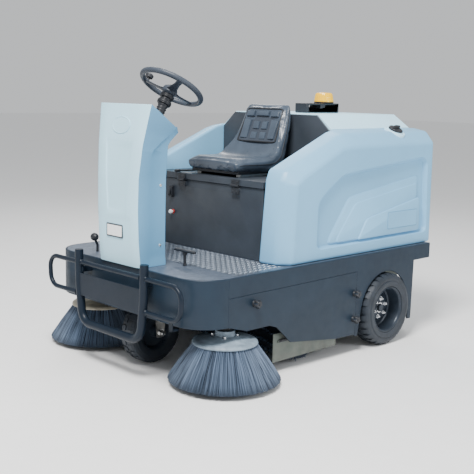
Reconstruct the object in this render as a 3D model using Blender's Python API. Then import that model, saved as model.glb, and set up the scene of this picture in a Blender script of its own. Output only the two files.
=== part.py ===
"""Ride-on sweeper: chassis, console, seat, brushes, wheels, hopper and hood.

Metres, +Z up, the ground at z = 0. The machine drives towards -Y, and +X is
the driver's left.
"""

import math

import bmesh
import bpy
from mathutils import Matrix, Vector

GAP = 0.0004

# Chassis
HALF_WIDTH = 0.588
SKIN = 0.010
DECK_TOP = 0.526
DECK_PLATE = 0.006
FRONT_Y = -0.875
REAR_Y = 0.902
CORNER_R = 0.165
SKIRT_BOTTOM = 0.298
BAND_BOTTOM = 0.4404
RAIL_X = 0.30
RAIL_SIZE = 0.05
RAIL_TOP = DECK_TOP - DECK_PLATE - GAP
RAIL_FRONT_Y = FRONT_Y + SKIN + GAP
RAIL_REAR_Y = REAR_Y - SKIN - GAP
INSIDE = HALF_WIDTH - SKIN - GAP

# Wheels
REAR_WHEEL_Y = 0.487
REAR_WHEEL_R = 0.200
REAR_WHEEL_IN = 0.498
REAR_WHEEL_OUT = 0.618
RIM_R = 0.127
FRONT_WHEEL_Y = -0.682
FRONT_WHEEL_R = 0.162
FRONT_WHEEL_HALF = 0.050

# Side brushes and main brush
BRUSH_X = 0.492
BRUSH_Y = -0.6355
BRUSH_R = 0.268
BRUSH_DISC_R = 0.150
BRUSH_DISC_Z = 0.196
BRISTLE_TIP_Z = 0.023
BRUSH_HUB_TOP = 0.2595
ARM_PIVOT_Y = -0.345
ARM_PIVOT_Z = 0.330
MAIN_BRUSH_Y = -0.125
MAIN_BRUSH_Z = 0.155
MAIN_BRUSH_R = 0.150
HOUSING_X = 0.548

# Console and steering
SHELL_WALL = 0.005
CONSOLE_BACK_Y = -0.717
CONSOLE_TIP = (-0.662, 1.160)
FRONT_COVER_T = 0.011
WHEEL_CENTRE = Vector((0.0, -0.563, 1.373))
WHEEL_TILT = math.radians(31.5)
WHEEL_R = 0.170
GRIP_R = 0.0135

# Seat box, lid and seat
BOX_FRONT_Y = -0.302
BOX_REAR_Y = 0.170
BOX_HALF = 0.396
BOX_TOP = 0.889
LID_BOTTOM = 0.8915
LID_TOP = 0.924
LID_AXIS_Y = -0.319
LID_AXIS_Z = 0.8902
SEAT_BOTTOM = 0.955

# Covers and hood
COVER_IN = 0.408
COVER_MID = 0.505
COVER_OUT = 0.565
COVER_BOTTOM = DECK_TOP + GAP
COVER_WALL = 0.006
RECESS_DEPTH = 0.014
HOOD_TOP = 1.250
HOOD_SIDE_Z = 1.178
HOOD_FRONT_Y = 0.192
BULKHEAD_Y = 0.180
FILLER_FOOT = Vector((0.478, 0.645, 1.150))
FILLER_NORMAL = Vector((0.40, 0.0, 0.917))

# Bumper
BUMPER_Y = -0.935
BUMPER_R = 0.021
BAR_R = 0.0115


def clear_scene():
    for item in list(bpy.data.objects):
        bpy.data.objects.remove(item, do_unlink=True)


def material(name, colour, roughness, metallic=0.0):
    made = bpy.data.materials.new(name)
    made.use_nodes = True
    shader = made.node_tree.nodes["Principled BSDF"]
    shader.inputs["Base Color"].default_value = (*colour, 1.0)
    shader.inputs["Roughness"].default_value = roughness
    shader.inputs["Metallic"].default_value = metallic
    return made


def add_object(name, mesh_data, coat, origin=(0.0, 0.0, 0.0), smooth=False):
    """Links a bmesh as an object whose origin is at the given point."""
    bmesh.ops.recalc_face_normals(mesh_data, faces=mesh_data.faces)
    shift = Vector(origin)
    bmesh.ops.translate(mesh_data, verts=mesh_data.verts, vec=-shift)
    mesh = bpy.data.meshes.new(name)
    mesh_data.to_mesh(mesh)
    mesh_data.free()
    for face in mesh.polygons:
        face.use_smooth = smooth
    item = bpy.data.objects.new(name, mesh)
    item.location = shift
    item.data.materials.append(coat)
    bpy.context.scene.collection.objects.link(item)
    return item


def loft(rings):
    """Closes a stack of equal rings of points into one solid."""
    made = bmesh.new()
    rows = [[made.verts.new(point) for point in ring] for ring in rings]
    count = len(rows[0])
    for lower, upper in zip(rows, rows[1:]):
        for i in range(count):
            j = (i + 1) % count
            made.faces.new((lower[i], lower[j], upper[j], upper[i]))
    made.faces.new(reversed(rows[0]))
    made.faces.new(rows[-1])
    return made


def prism(outline, axis, low, high):
    """Extrudes an outline along X, Y or Z between two planes."""
    def place(pair, level):
        first, second = pair
        if axis == "X":
            return (level, first, second)
        if axis == "Y":
            return (first, level, second)
        return (first, second, level)
    return loft([[place(pair, level) for pair in outline] for level in (low, high)])


def box(low, high):
    outline = [(low[0], low[1]), (high[0], low[1]), (high[0], high[1]), (low[0], high[1])]
    return prism(outline, "Z", low[2], high[2])


def turned(profile, centre, axis, segments):
    """Revolves (radius, height) pairs; a profile that ends off the axis closes on itself."""
    made = bmesh.new()
    turn = Vector((0, 0, 1)).rotation_difference(Vector(axis)).to_matrix()
    closed = profile[0][0] > 0
    rows = []
    for radius, height in profile:
        count = segments if radius > 0 else 1
        row = []
        for k in range(count):
            angle = 2 * math.pi * k / segments
            local = Vector((radius * math.cos(angle), radius * math.sin(angle), height))
            row.append(made.verts.new(Vector(centre) + turn @ local))
        rows.append(row)
    pairs = list(zip(rows, rows[1:]))
    if closed:
        pairs.append((rows[-1], rows[0]))
    for lower, upper in pairs:
        for k in range(segments):
            j = (k + 1) % segments
            ring = [lower[k % len(lower)], lower[j % len(lower)],
                    upper[j % len(upper)], upper[k % len(upper)]]
            made.faces.new(list(dict.fromkeys(ring)))
    return made


def cylinder(start, end, radius, segments=16):
    length = (Vector(end) - Vector(start)).length
    profile = [(0, 0), (radius, 0), (radius, length), (0, length)]
    return turned(profile, start, Vector(end) - Vector(start), segments)


def rounded(points, radius, steps=4):
    """Replaces the inner corners of a path with arcs."""
    path = [Vector(points[0])]
    for before, corner, after in zip(points, points[1:], points[2:]):
        corner = Vector(corner)
        back = (Vector(before) - corner).normalized()
        ahead = (Vector(after) - corner).normalized()
        half = back.angle(ahead) / 2
        reach = radius / math.tan(half)
        centre = corner + (back + ahead).normalized() * radius / math.sin(half)
        start = corner + back * reach - centre
        end = corner + ahead * reach - centre
        for k in range(steps + 1):
            path.append(centre + start.slerp(end, k / steps).normalized() * radius)
    path.append(Vector(points[-1]))
    return path


def tube(path, radius, segments=10):
    """Sweeps a circle along a path, with flat ends."""
    path = [Vector(point) for point in path]
    rings = []
    heading = (path[1] - path[0]).normalized()
    side = heading.orthogonal().normalized()
    for i, point in enumerate(path):
        before = path[max(i - 1, 0)]
        after = path[min(i + 1, len(path) - 1)]
        new_heading = (after - before).normalized()
        side = heading.rotation_difference(new_heading) @ side
        heading = new_heading
        up = heading.cross(side)
        angles = [2 * math.pi * k / segments for k in range(segments)]
        rings.append([point + radius * (side * math.cos(a) + up * math.sin(a)) for a in angles])
    return loft(rings)


def combine(item, operand_mesh, operation):
    """Adds or removes a hidden solid through a Boolean modifier."""
    name = f"{item.name}.tool{len(item.modifiers)}"
    operand = add_object(name, operand_mesh, item.data.materials[0])
    operand.hide_render = True
    operand.display_type = "WIRE"
    step = item.modifiers.new(name, "BOOLEAN")
    step.operation = operation
    step.solver = "EXACT"
    step.object = operand


def weld(item, operand_mesh):
    combine(item, operand_mesh, "UNION")


def cut(item, operand_mesh):
    combine(item, operand_mesh, "DIFFERENCE")


def arc(centre, radius, start, end, steps):
    """Points on an arc, angles in degrees."""
    angles = [math.radians(start + (end - start) * k / steps) for k in range(steps + 1)]
    return [(centre[0] + radius * math.cos(a), centre[1] + radius * math.sin(a)) for a in angles]


def deck_outline(inset, rear_y):
    """Plan of the deck: rounded front corners and a square rear."""
    x = HALF_WIDTH - inset
    y = FRONT_Y + inset
    radius = CORNER_R - inset
    right = arc((-x + radius, y + radius), radius, 180, 270, 8)
    left = arc((x - radius, y + radius), radius, 270, 360, 8)
    return right + left + [(x, rear_y), (-x, rear_y)]


def build_chassis(coat):
    rail_half = RAIL_SIZE / 2
    rail_low = RAIL_TOP - RAIL_SIZE
    rails = add_object("frame_rails", box((-RAIL_X - rail_half, RAIL_FRONT_Y, rail_low),
                                          (-RAIL_X + rail_half, RAIL_REAR_Y, RAIL_TOP)), coat["frame"])
    weld(rails, box((RAIL_X - rail_half, RAIL_FRONT_Y, rail_low), (RAIL_X + rail_half, RAIL_REAR_Y,
            RAIL_TOP)))
    for y_low, y_high, half in ((-0.740, -0.624, 0.31), (-0.335, -0.295, INSIDE), (0.820, 0.860,
            INSIDE)):
        weld(rails, box((-half, y_low, rail_low + 0.005), (half, y_high, RAIL_TOP - 0.005)))
    cut(rails, cylinder((0, FRONT_WHEEL_Y, 0.3), (0, FRONT_WHEEL_Y, 0.6), 0.0256, 24))
    for side in (-1, 1):
        for offset in (-0.031, 0.019):
            x = side * BRUSH_X + offset
            weld(rails, box((x, -0.36, ARM_PIVOT_Z - 0.02), (x + 0.012, -0.31, RAIL_TOP - 0.02)))
        cut(rails, cylinder((side * BRUSH_X - 0.04, ARM_PIVOT_Y, ARM_PIVOT_Z),
                            (side * BRUSH_X + 0.04, ARM_PIVOT_Y, ARM_PIVOT_Z), 0.0085, 12))

    deck = deck_outline(SKIN + GAP, REAR_Y - SKIN - GAP)
    add_object("deck_plate", prism(deck, "Z", DECK_TOP - DECK_PLATE, DECK_TOP), coat["deck"])

    split_y = FRONT_Y + CORNER_R
    outer = deck_outline(0, split_y)
    inner = deck_outline(SKIN, split_y)
    ring = outer[:-2] + [(HALF_WIDTH, split_y), (HALF_WIDTH - SKIN, split_y)]
    ring += list(reversed(inner[:-2])) + [(-HALF_WIDTH + SKIN, split_y), (-HALF_WIDTH, split_y)]
    add_object("skirt_front", prism(ring, "Z", SKIRT_BOTTOM, DECK_TOP), coat["frame"])

    front_y = split_y + GAP
    wheel_arch = arc((REAR_WHEEL_Y, 0.197), 0.214, 172, 8, 14)
    outline = [(front_y, DECK_TOP), (front_y, 0.4326), (0.228, BAND_BOTTOM), (0.228, 0.090),
               (0.252, 0.088)] + wheel_arch
    outline += [(0.712, 0.105), (0.742, 0.105), (0.748, BAND_BOTTOM), (REAR_Y, BAND_BOTTOM),
                (REAR_Y, DECK_TOP)]
    panel = [(front_y, 0.4320), (front_y, SKIRT_BOTTOM), (-0.586, 0.263), (-0.433, 0.262),
             (-0.383, 0.245), (-0.279, 0.152), (0.064, 0.105), (0.2275, 0.098),
             (0.2275, BAND_BOTTOM - 0.0006)]
    for side, word in ((1, "left"), (-1, "right")):
        low, high = sorted((side * (HALF_WIDTH - SKIN), side * HALF_WIDTH))
        add_object(f"skirt_{word}", prism(outline, "X", low, high), coat["frame"])
        door = add_object(f"access_panel_{word}", prism(panel, "X", low, high), coat["frame"])
        for y, z in ((-0.542, 0.388), (0.212, 0.325), (0.210, 0.188)):
            x = side * (HALF_WIDTH - 0.002)
            weld(door, cylinder((x, y, z), (x + side * 0.024, y, z), 0.008, 8))
            weld(door, cylinder((x + side * 0.014, y, z), (x + side * 0.034, y, z), 0.017, 12))

    add_object("rear_beam", box((-INSIDE, REAR_Y - SKIN, BAND_BOTTOM), (INSIDE, REAR_Y, DECK_TOP)),
               coat["frame"])


def build_bumper(coat):
    y = BUMPER_Y
    upright = [(-0.260, y, 0.567), (-0.257, y, 0.40), (-0.232, y, 0.20), (0.232, y, 0.20),
               (0.257, y, 0.40), (0.260, y, 0.567)]
    path = [Vector(upright[0]), Vector(upright[1])] + rounded(upright[1:5], 0.075)[1:-1]
    path += [Vector(upright[4]), Vector(upright[5])]
    bumper = add_object("front_bumper", tube(path, BUMPER_R, 12), coat["frame"], smooth=True)
    weld(bumper, tube([(-0.258, y, 0.504), (0.258, y, 0.504)], BAR_R, 10))
    for side in (-1, 1):
        loop = [(side * 0.258, y, 0.502), (side * 0.525, y, 0.502), (side * 0.515, y, 0.345),
                (side * 0.252, y, 0.345)]
        weld(bumper, tube(rounded(loop, 0.062), BAR_R, 10))
        weld(bumper, box((side * 0.24 - 0.012, y, 0.455), (side * 0.24 + 0.012, FRONT_Y - GAP, 0.485)))
    weld(bumper, box((-0.255, y - 0.012, 0.337), (0.255, y - 0.007, 0.452)))


def console_half_width(z):
    """Half width of the console, narrow at the waist and wide at the top."""
    levels = [(0.526, 0.158), (0.65, 0.156), (0.95, 0.158), (1.10, 0.170), (1.20, 0.182),
              (1.30, 0.195)]
    for (low, first), (high, second) in zip(levels, levels[1:]):
        if z <= high:
            return first + (second - first) * max(z - low, 0) / (high - low)
    return levels[-1][1]


CONSOLE_FRONT = [(-0.885, 0.5265), (-0.896, 0.65), (-0.901, 0.80), (-0.899, 0.95), (-0.886, 1.10),
                 (-0.869, 1.20), (-0.853, 1.293)]
CONSOLE_BACK = [(CONSOLE_BACK_Y, 0.5265), (CONSOLE_BACK_Y, 0.65), (CONSOLE_BACK_Y, 0.80),
                (CONSOLE_BACK_Y, 0.95), (CONSOLE_BACK_Y + 0.002, 1.104), (-0.664, 1.155),
                CONSOLE_TIP]


def console_rings(front_shift, back_shift, side_shift, drop):
    rings = []
    for (front_y, front_z), (back_y, back_z) in zip(CONSOLE_FRONT, CONSOLE_BACK):
        front = console_half_width(front_z) - side_shift
        back = console_half_width(back_z) - side_shift
        rings.append([(-front, front_y + front_shift, front_z - drop),
                      (front, front_y + front_shift, front_z - drop),
                      (back, back_y - back_shift, back_z - drop),
                      (-back, back_y - back_shift, back_z - drop)])
    return rings


def build_console(coat):
    shell_front = FRONT_COVER_T + GAP
    shell = add_object("console_shell", loft(console_rings(shell_front, 0, 0, 0)), coat["console"])
    cut(shell, loft(console_rings(shell_front + SHELL_WALL, SHELL_WALL, SHELL_WALL, SHELL_WALL * 1.5)))
    rings = []
    for y, z in CONSOLE_FRONT:
        half = console_half_width(z)
        edge = half - 0.022
        rings.append([(-half, y + FRONT_COVER_T, z), (-half, y + 0.008, z), (-edge, y, z),
                      (edge, y, z), (half, y + 0.008, z), (half, y + FRONT_COVER_T, z)])
    add_object("console_front", loft(rings), coat["pale"])

    axis = Vector((0, math.sin(WHEEL_TILT), math.cos(WHEEL_TILT)))
    base = WHEEL_CENTRE - axis * 0.224
    slope = (Vector((0, CONSOLE_TIP[0], CONSOLE_TIP[1])) - Vector((0, -0.842, 1.293))).normalized()
    normal = Vector((0, -slope.z, slope.y))
    start = Vector((0, -0.842, 1.293)) + normal * GAP + slope * 0.012
    end = start + slope * 0.192
    half = 0.145
    rings = [[(-half, p.y, p.z), (half, p.y, p.z), (half, q.y, q.z), (-half, q.y, q.z)]
             for p, q in ((start, end), (start + normal * 0.004, end + normal * 0.004))]
    dash = add_object("dash_panel", loft(rings), coat["black"])
    cut(dash, cylinder(base - axis * 0.05, base + axis * 0.05, 0.030, 20))
    plane_base = base + axis * 0.004
    profile = [(0, 0), (0.029, 0), (0.029, 0.012), (0.022, 0.020), (0.022, 0.150), (0.030, 0.156),
               (0.030, 0.176), (0, 0.176)]
    add_object("column_tube", turned(profile, plane_base, axis, 20), coat["black"], smooth=True)


def build_steering_wheel(coat):
    axis = Vector((0, math.sin(WHEEL_TILT), math.cos(WHEEL_TILT)))
    turn = Vector((0, 0, 1)).rotation_difference(axis).to_matrix().to_4x4()
    grip_circle = [(WHEEL_R - GRIP_R + GRIP_R * math.cos(a), GRIP_R * math.sin(a))
                   for a in (2 * math.pi * k / 8 for k in range(8))]
    rim = add_object("steering_wheel", turned(grip_circle, WHEEL_CENTRE, axis, 36), coat["grip"],
                     WHEEL_CENTRE, smooth=True)
    hub_low = WHEEL_CENTRE - axis * 0.042
    hub = [(0, 0), (0.026, 0), (0.034, 0.012), (0.034, 0.036), (0.028, 0.040), (0.0232, 0.040),
           (0.0232, 0.034), (0, 0.034)]
    weld(rim, turned(hub, hub_low, axis, 20))
    for angle in (90, 210, 330):
        reach = Vector((math.cos(math.radians(angle)), math.sin(math.radians(angle)), 0))
        start = WHEEL_CENTRE + turn.to_3x3() @ (reach * 0.020) - axis * 0.022
        end = WHEEL_CENTRE + turn.to_3x3() @ (reach * (WHEEL_R - GRIP_R)) - axis * 0.002
        side = axis.cross(end - start).normalized() * 0.014
        up = axis * 0.004
        rings = [[p - side - up, p + side - up, p + side + up, p - side + up] for p in (start, end)]
        weld(rim, loft(rings))
    horn_base = hub_low + axis * 0.038
    horn = [(0, 0), (0.022, 0), (0.022, 0.006), (0.017, 0.010), (0, 0.012)]
    add_object("horn_button", turned(horn, horn_base, axis, 20), coat["black"], horn_base, smooth=True)


def build_pedals(coat):
    brake_x, brake_y = 0.232, -0.665
    foot = DECK_TOP + GAP
    brake = add_object("brake_pedal", cylinder((brake_x, brake_y, foot), (brake_x, brake_y, 0.598),
            0.009, 10),
                       coat["black"], (brake_x, brake_y - 0.010, foot + 0.001))
    weld(brake, box((brake_x - 0.072, brake_y - 0.012, 0.594), (brake_x + 0.072, brake_y + 0.012,
            0.604)))
    speed_x, speed_y = -0.335, -0.770
    stem = [(speed_x, speed_y, foot), (speed_x, speed_y, 0.560), (speed_x, speed_y - 0.018, 0.596)]
    speed = add_object("speed_pedal", tube(stem, 0.007, 8), coat["black"],
                       (speed_x, speed_y - 0.008, foot + 0.001))
    weld(speed, cylinder((speed_x - 0.022, speed_y - 0.018, 0.604), (speed_x + 0.022,
            speed_y - 0.018, 0.604),
                         0.021, 12))


def build_seat_box(coat):
    seat_box = add_object("seat_box", box((-BOX_HALF, BOX_FRONT_Y, DECK_TOP + GAP),
                                          (BOX_HALF, BOX_REAR_Y, BOX_TOP)), coat["panel"])
    cut(seat_box, box((-BOX_HALF + 0.004, BOX_FRONT_Y + 0.004, DECK_TOP + 0.005),
                      (BOX_HALF - 0.004, BOX_REAR_Y - 0.004, BOX_TOP + 0.05)))
    for x in (-0.200, 0.210):
        weld(seat_box, box((x - 0.024, BOX_FRONT_Y - 0.014, 0.852), (x + 0.024,
                BOX_FRONT_Y + 0.002, 0.880)))
    battery = add_object("battery_pack", box((-0.34, -0.24, DECK_TOP + 0.006), (0.34, 0.12, 0.800)),
                         coat["battery"])
    for x in (-0.17, 0.17):
        for y in (-0.15, 0.03):
            weld(battery, cylinder((x, y, 0.795), (x, y, 0.822), 0.014, 10))

    pivot = (0.0, LID_AXIS_Y, LID_AXIS_Z)
    half = BOX_HALF + 0.004
    lid = add_object("seat_lid", box((-half, BOX_FRONT_Y - 0.008, LID_BOTTOM), (half,
            BOX_REAR_Y + 0.003, LID_TOP)),
                     coat["panel"], pivot)
    cut(lid, box((-half + 0.004, BOX_FRONT_Y - 0.004, LID_BOTTOM - 0.01),
                 (half - 0.004, BOX_REAR_Y - 0.001, LID_TOP - 0.004)))
    for x in (-0.200, 0.210):
        weld(lid, box((x - 0.024, BOX_FRONT_Y - 0.013, 0.896), (x + 0.024, BOX_FRONT_Y - 0.006, 0.918)))
        weld(lid, cylinder((x - 0.024, LID_AXIS_Y, LID_AXIS_Z + 0.001), (x + 0.024, LID_AXIS_Y,
                LID_AXIS_Z + 0.001),
                           0.0075, 10))
    rails = add_object("seat_rails", box((-0.165, -0.235, LID_TOP + GAP), (-0.135, 0.085,
            LID_TOP + 0.014)),
                       coat["steel"], pivot)
    weld(rails, box((0.135, -0.235, LID_TOP + GAP), (0.165, 0.085, LID_TOP + 0.014)))
    weld(rails, box((-0.14, -0.10, LID_TOP + GAP), (0.14, -0.07, LID_TOP + 0.005)))


def build_seat(coat):
    rail_top = LID_TOP + 0.014 + GAP
    pan = add_object("seat_pan", box((-0.175, -0.265, rail_top), (0.175, 0.070,
            SEAT_BOTTOM - GAP)), coat["black"])
    weld(pan, box((-0.12, 0.060, rail_top), (0.12, 0.086, 1.020)))
    front = [(-0.170, -0.250), (-0.135, -0.290), (0.135, -0.290), (0.170, -0.250), (0.215, -0.060),
             (0.205, 0.028), (-0.205, 0.028), (-0.215, -0.060)]
    rings = [[(x * scale, y * scale - 0.02 * (1 - scale), z) for x, y in front]
             for scale, z in ((0.93, SEAT_BOTTOM), (1.0, SEAT_BOTTOM + 0.016), (1.0,
                     SEAT_BOTTOM + 0.042),
                              (0.93, SEAT_BOTTOM + 0.054))]
    add_object("seat_cushion", loft(rings), coat["vinyl"], smooth=False)
    levels = [(1.024, 0.028, 0.206, 0.058), (1.060, 0.052, 0.200, 0.060), (1.110, 0.078, 0.180, 0.056),
              (1.200, 0.103, 0.172, 0.050), (1.285, 0.122, 0.162, 0.044), (1.312, 0.134, 0.130, 0.026)]
    rings = []
    for z, y, half, depth in levels:
        rings.append([(-half, y + depth * 0.5, z), (-half * 0.9, y, z), (half * 0.9, y, z),
                      (half, y + depth * 0.5, z), (half * 0.9, y + depth, z), (-half * 0.9,
                              y + depth, z)])
    add_object("seat_back", loft(rings), coat["vinyl"])
    pivot = (-0.198, -0.120, 0.9325)
    lever = [pivot, (-0.210, -0.190, 0.9325), (-0.240, -0.325, 0.9325)]
    add_object("seat_lever", tube(lever, 0.0045, 8), coat["black"], pivot, smooth=True)


def cover_profile(x):
    """Side outline of a cover at one distance from the centre plane."""
    shapes = {
        COVER_IN: [(-0.342, COVER_BOTTOM), (-0.308, 0.939), (-0.288, 0.989), (0.130, 1.164),
                   (0.185, 1.176), (0.925, 1.178), (0.945, COVER_BOTTOM)],
        COVER_MID: [(-0.324, COVER_BOTTOM), (-0.292, 0.934), (-0.266, 0.984), (0.122, 1.144),
                    (0.180, 1.160), (0.928, 1.162), (0.942, COVER_BOTTOM)],
        COVER_OUT: [(-0.264, COVER_BOTTOM), (-0.242, 0.925), (-0.183, 0.959), (0.104, 1.087),
                    (0.166, 1.092), (0.917, 1.100), (0.930, COVER_BOTTOM)],
    }
    return [(x, y, z) for y, z in shapes[x]]


def shrunk(ring, x, amount):
    """Moves a cover outline inwards by one wall and drops its foot below the cover."""
    made = []
    for index, (_, y, z) in enumerate(ring):
        inward = amount if index < 3 else (-amount if index > 4 else 0)
        foot = index in (0, len(ring) - 1)
        made.append((x, y + inward, z - 0.05 if foot else z - amount))
    return made


COVER_RECESS = [(-0.085, 0.584), (-0.080, 0.827), (-0.014, 0.881), (0.113, 0.958), (0.817, 1.024),
                (0.865, 0.994), (0.887, 0.588)]


def build_covers(coat):
    for side, word in ((1, "left"), (-1, "right")):
        rings = [[(side * p[0], p[1], p[2]) for p in cover_profile(x)]
                 for x in (COVER_IN, COVER_MID, COVER_OUT)]
        cover = add_object(f"cover_{word}", loft(rings), coat["cover"])
        wall = COVER_WALL
        inside = [(COVER_IN, COVER_IN + wall), (COVER_MID, COVER_MID - wall),
                  (COVER_OUT, COVER_OUT - RECESS_DEPTH - wall)]
        rings = [[(side * p[0], p[1], p[2]) for p in shrunk(cover_profile(x), new_x, wall * 1.6)]
                 for x, new_x in inside]
        cut(cover, loft(rings))
        low, high = sorted((side * (COVER_OUT - RECESS_DEPTH), side * (COVER_OUT + 0.02)))
        cut(cover, prism(COVER_RECESS, "X", low, high))


def build_rear(coat):
    foot = DECK_TOP + GAP
    bulkhead = [(-0.402, foot), (-0.402, 1.165), (-0.310, HOOD_TOP - 0.004),
                (0.310, HOOD_TOP - 0.004), (0.402, 1.165), (0.402, foot)]
    add_object("bulkhead", prism(bulkhead, "Y", BULKHEAD_Y, BULKHEAD_Y + 0.008), coat["panel"])
    add_object("rear_panel", box((-0.402, 0.872, foot), (0.402, 0.880, 1.160)), coat["panel"])
    filter_box = add_object("filter_box", box((-0.30, 0.26, foot), (0.30, 0.80, 1.02)), coat["panel"])
    cut(filter_box, box((-0.296, 0.264, foot - 0.02), (0.296, 0.796, 1.016)))

    pivot = (0.0, 0.895, 1.166)
    low_z = HOOD_SIDE_Z - 0.010
    section = [(-0.404, low_z), (-0.404, HOOD_SIDE_Z), (-0.312, HOOD_TOP), (0.312, HOOD_TOP),
               (0.404, HOOD_SIDE_Z), (0.404, low_z)]
    sections = []
    for y, top in ((HOOD_FRONT_Y, HOOD_TOP), (0.868, HOOD_TOP), (0.892, 1.236)):
        sections.append([(x, y, min(z, top)) for x, z in section])
    hood = add_object("rear_hood", loft(sections), coat["pale"], pivot)
    inner = []
    for y, top in ((HOOD_FRONT_Y + 0.006, HOOD_TOP - 0.006), (0.864, HOOD_TOP - 0.006), (0.886, 1.228)):
        inner.append([(x * 0.98, y, min(z - 0.006, top) if index not in (0, 5) else low_z - 0.02)
                      for index, (x, z) in enumerate(section)])
    cut(hood, loft(inner))

    bracket_y = (0.402, 0.690)
    bracket = add_object("beacon_bracket", box((-0.045, bracket_y[0], HOOD_TOP + GAP),
                                               (0.045, bracket_y[1], 1.305)), coat["black"], pivot)
    for low, high in ((0.424, 0.526), (0.566, 0.668)):
        cut(bracket, box((-0.06, low, HOOD_TOP + 0.010), (0.06, high, 1.295)))
    base = (0.0, 0.603, 1.305 + GAP)
    add_object("beacon_base", turned([(0, 0), (0.058, 0), (0.058, 0.008), (0, 0.008)], base, (0, 0,
            1), 24),
               coat["black"], pivot, smooth=True)
    lens = [(0, 0), (0.056, 0), (0.056, 0.012), (0.050, 0.046), (0.042, 0.052), (0, 0.052)]
    lens_base = (base[0], base[1], base[2] + 0.008 + GAP)
    add_object("beacon_lens", turned(lens, lens_base, (0, 0, 1), 24), coat["lens"], pivot, smooth=True)



def build_tank_cap(coat):
    """Puts a filler boss on the left cover and a turning cap on the boss."""
    normal = FILLER_NORMAL.normalized()
    boss = [(0, 0), (0.056, 0), (0.050, 0.022), (0, 0.022)]
    weld(bpy.data.objects["cover_left"], turned(boss, FILLER_FOOT, normal, 24))
    cap_base = FILLER_FOOT + normal * (0.022 + GAP)
    cap = add_object("tank_cap", turned([(0, 0), (0.040, 0), (0.038, 0.009), (0, 0.011)], cap_base,
            normal, 20),
                     coat["black"], cap_base, smooth=True)
    along = Vector((0, 1, 0))
    across = normal.cross(along)
    rings = []
    for level in (0.004, 0.026):
        centre = cap_base + normal * level
        rings.append([centre + along * a * 0.032 + across * b * 0.008
                      for a, b in ((-1, -1), (1, -1), (1, 1), (-1, 1))])
    weld(cap, loft(rings))


def build_side_brush(side, word, coat, disc_coat):
    pivot = (side * BRUSH_X, ARM_PIVOT_Y, ARM_PIVOT_Z)
    x = side * BRUSH_X
    arm = add_object(f"brush_arm_{word}", box((x - 0.018, BRUSH_Y - 0.05, 0.290), (x + 0.018,
            ARM_PIVOT_Y, 0.314)),
                     coat["steel"], pivot)
    weld(arm, box((x - 0.018, ARM_PIVOT_Y - 0.016, 0.292), (x + 0.018, ARM_PIVOT_Y + 0.014,
            ARM_PIVOT_Z + 0.014)))
    weld(arm, cylinder((x - 0.036, ARM_PIVOT_Y, ARM_PIVOT_Z), (x + 0.036, ARM_PIVOT_Y,
            ARM_PIVOT_Z), 0.008, 12))
    motor = [(0, 0), (0.030, 0), (0.030, 0.012), (0.052, 0.016), (0.052, 0.080), (0, 0.080)]
    weld(arm, turned(motor, (x, BRUSH_Y, BRUSH_HUB_TOP + 0.001), (0, 0, 1), 20))
    centre = (x, BRUSH_Y, 0.0)
    disc = [(0, BRUSH_DISC_Z), (BRUSH_DISC_R, BRUSH_DISC_Z), (BRUSH_DISC_R + 0.006,
            BRUSH_DISC_Z + 0.008),
            (BRUSH_DISC_R - 0.006, BRUSH_DISC_Z + 0.024), (0.050, BRUSH_DISC_Z + 0.036),
            (0.046, BRUSH_HUB_TOP), (0, BRUSH_HUB_TOP)]
    add_object(f"brush_disc_{word}", turned(disc, centre, (0, 0, 1), 28), disc_coat, centre,
            smooth=True)
    top = BRUSH_DISC_Z - GAP
    bristles = [(0.105, top), (BRUSH_DISC_R - 0.002, top), (BRUSH_R, BRISTLE_TIP_Z + 0.009),
                (BRUSH_R - 0.006, BRISTLE_TIP_Z), (0.200, BRISTLE_TIP_Z)]
    add_object(f"bristles_{word}", turned(bristles, centre, (0, 0, 1), 32), coat["bristle"],
            centre, smooth=True)


def build_main_brush(coat):
    centre = (0.0, MAIN_BRUSH_Y, MAIN_BRUSH_Z)
    length = 2 * 0.538
    start = (-length / 2, MAIN_BRUSH_Y, MAIN_BRUSH_Z)
    add_object("main_brush_core", turned([(0, 0), (0.048, 0), (0.048, length), (0, length)], start,
                                         (1, 0, 0), 24), coat["steel"], centre, smooth=True)
    sleeve = [(0.0483, 0.016), (MAIN_BRUSH_R, 0.016), (MAIN_BRUSH_R, length - 0.016), (0.0483,
            length - 0.016)]
    add_object("main_brush_bristles", turned(sleeve, start, (1, 0, 0), 24), coat["bristle"],
            centre, smooth=True)
    x = HOUSING_X
    t = 0.004
    section = [(-x, 0.055), (-x + t, 0.055), (-x + t, 0.336), (x - t, 0.336), (x - t, 0.055), (x,
            0.055),
               (x, 0.340), (-x, 0.340)]
    add_object("brush_housing", prism(section, "Y", -0.300, 0.100), coat["housing"])


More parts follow.
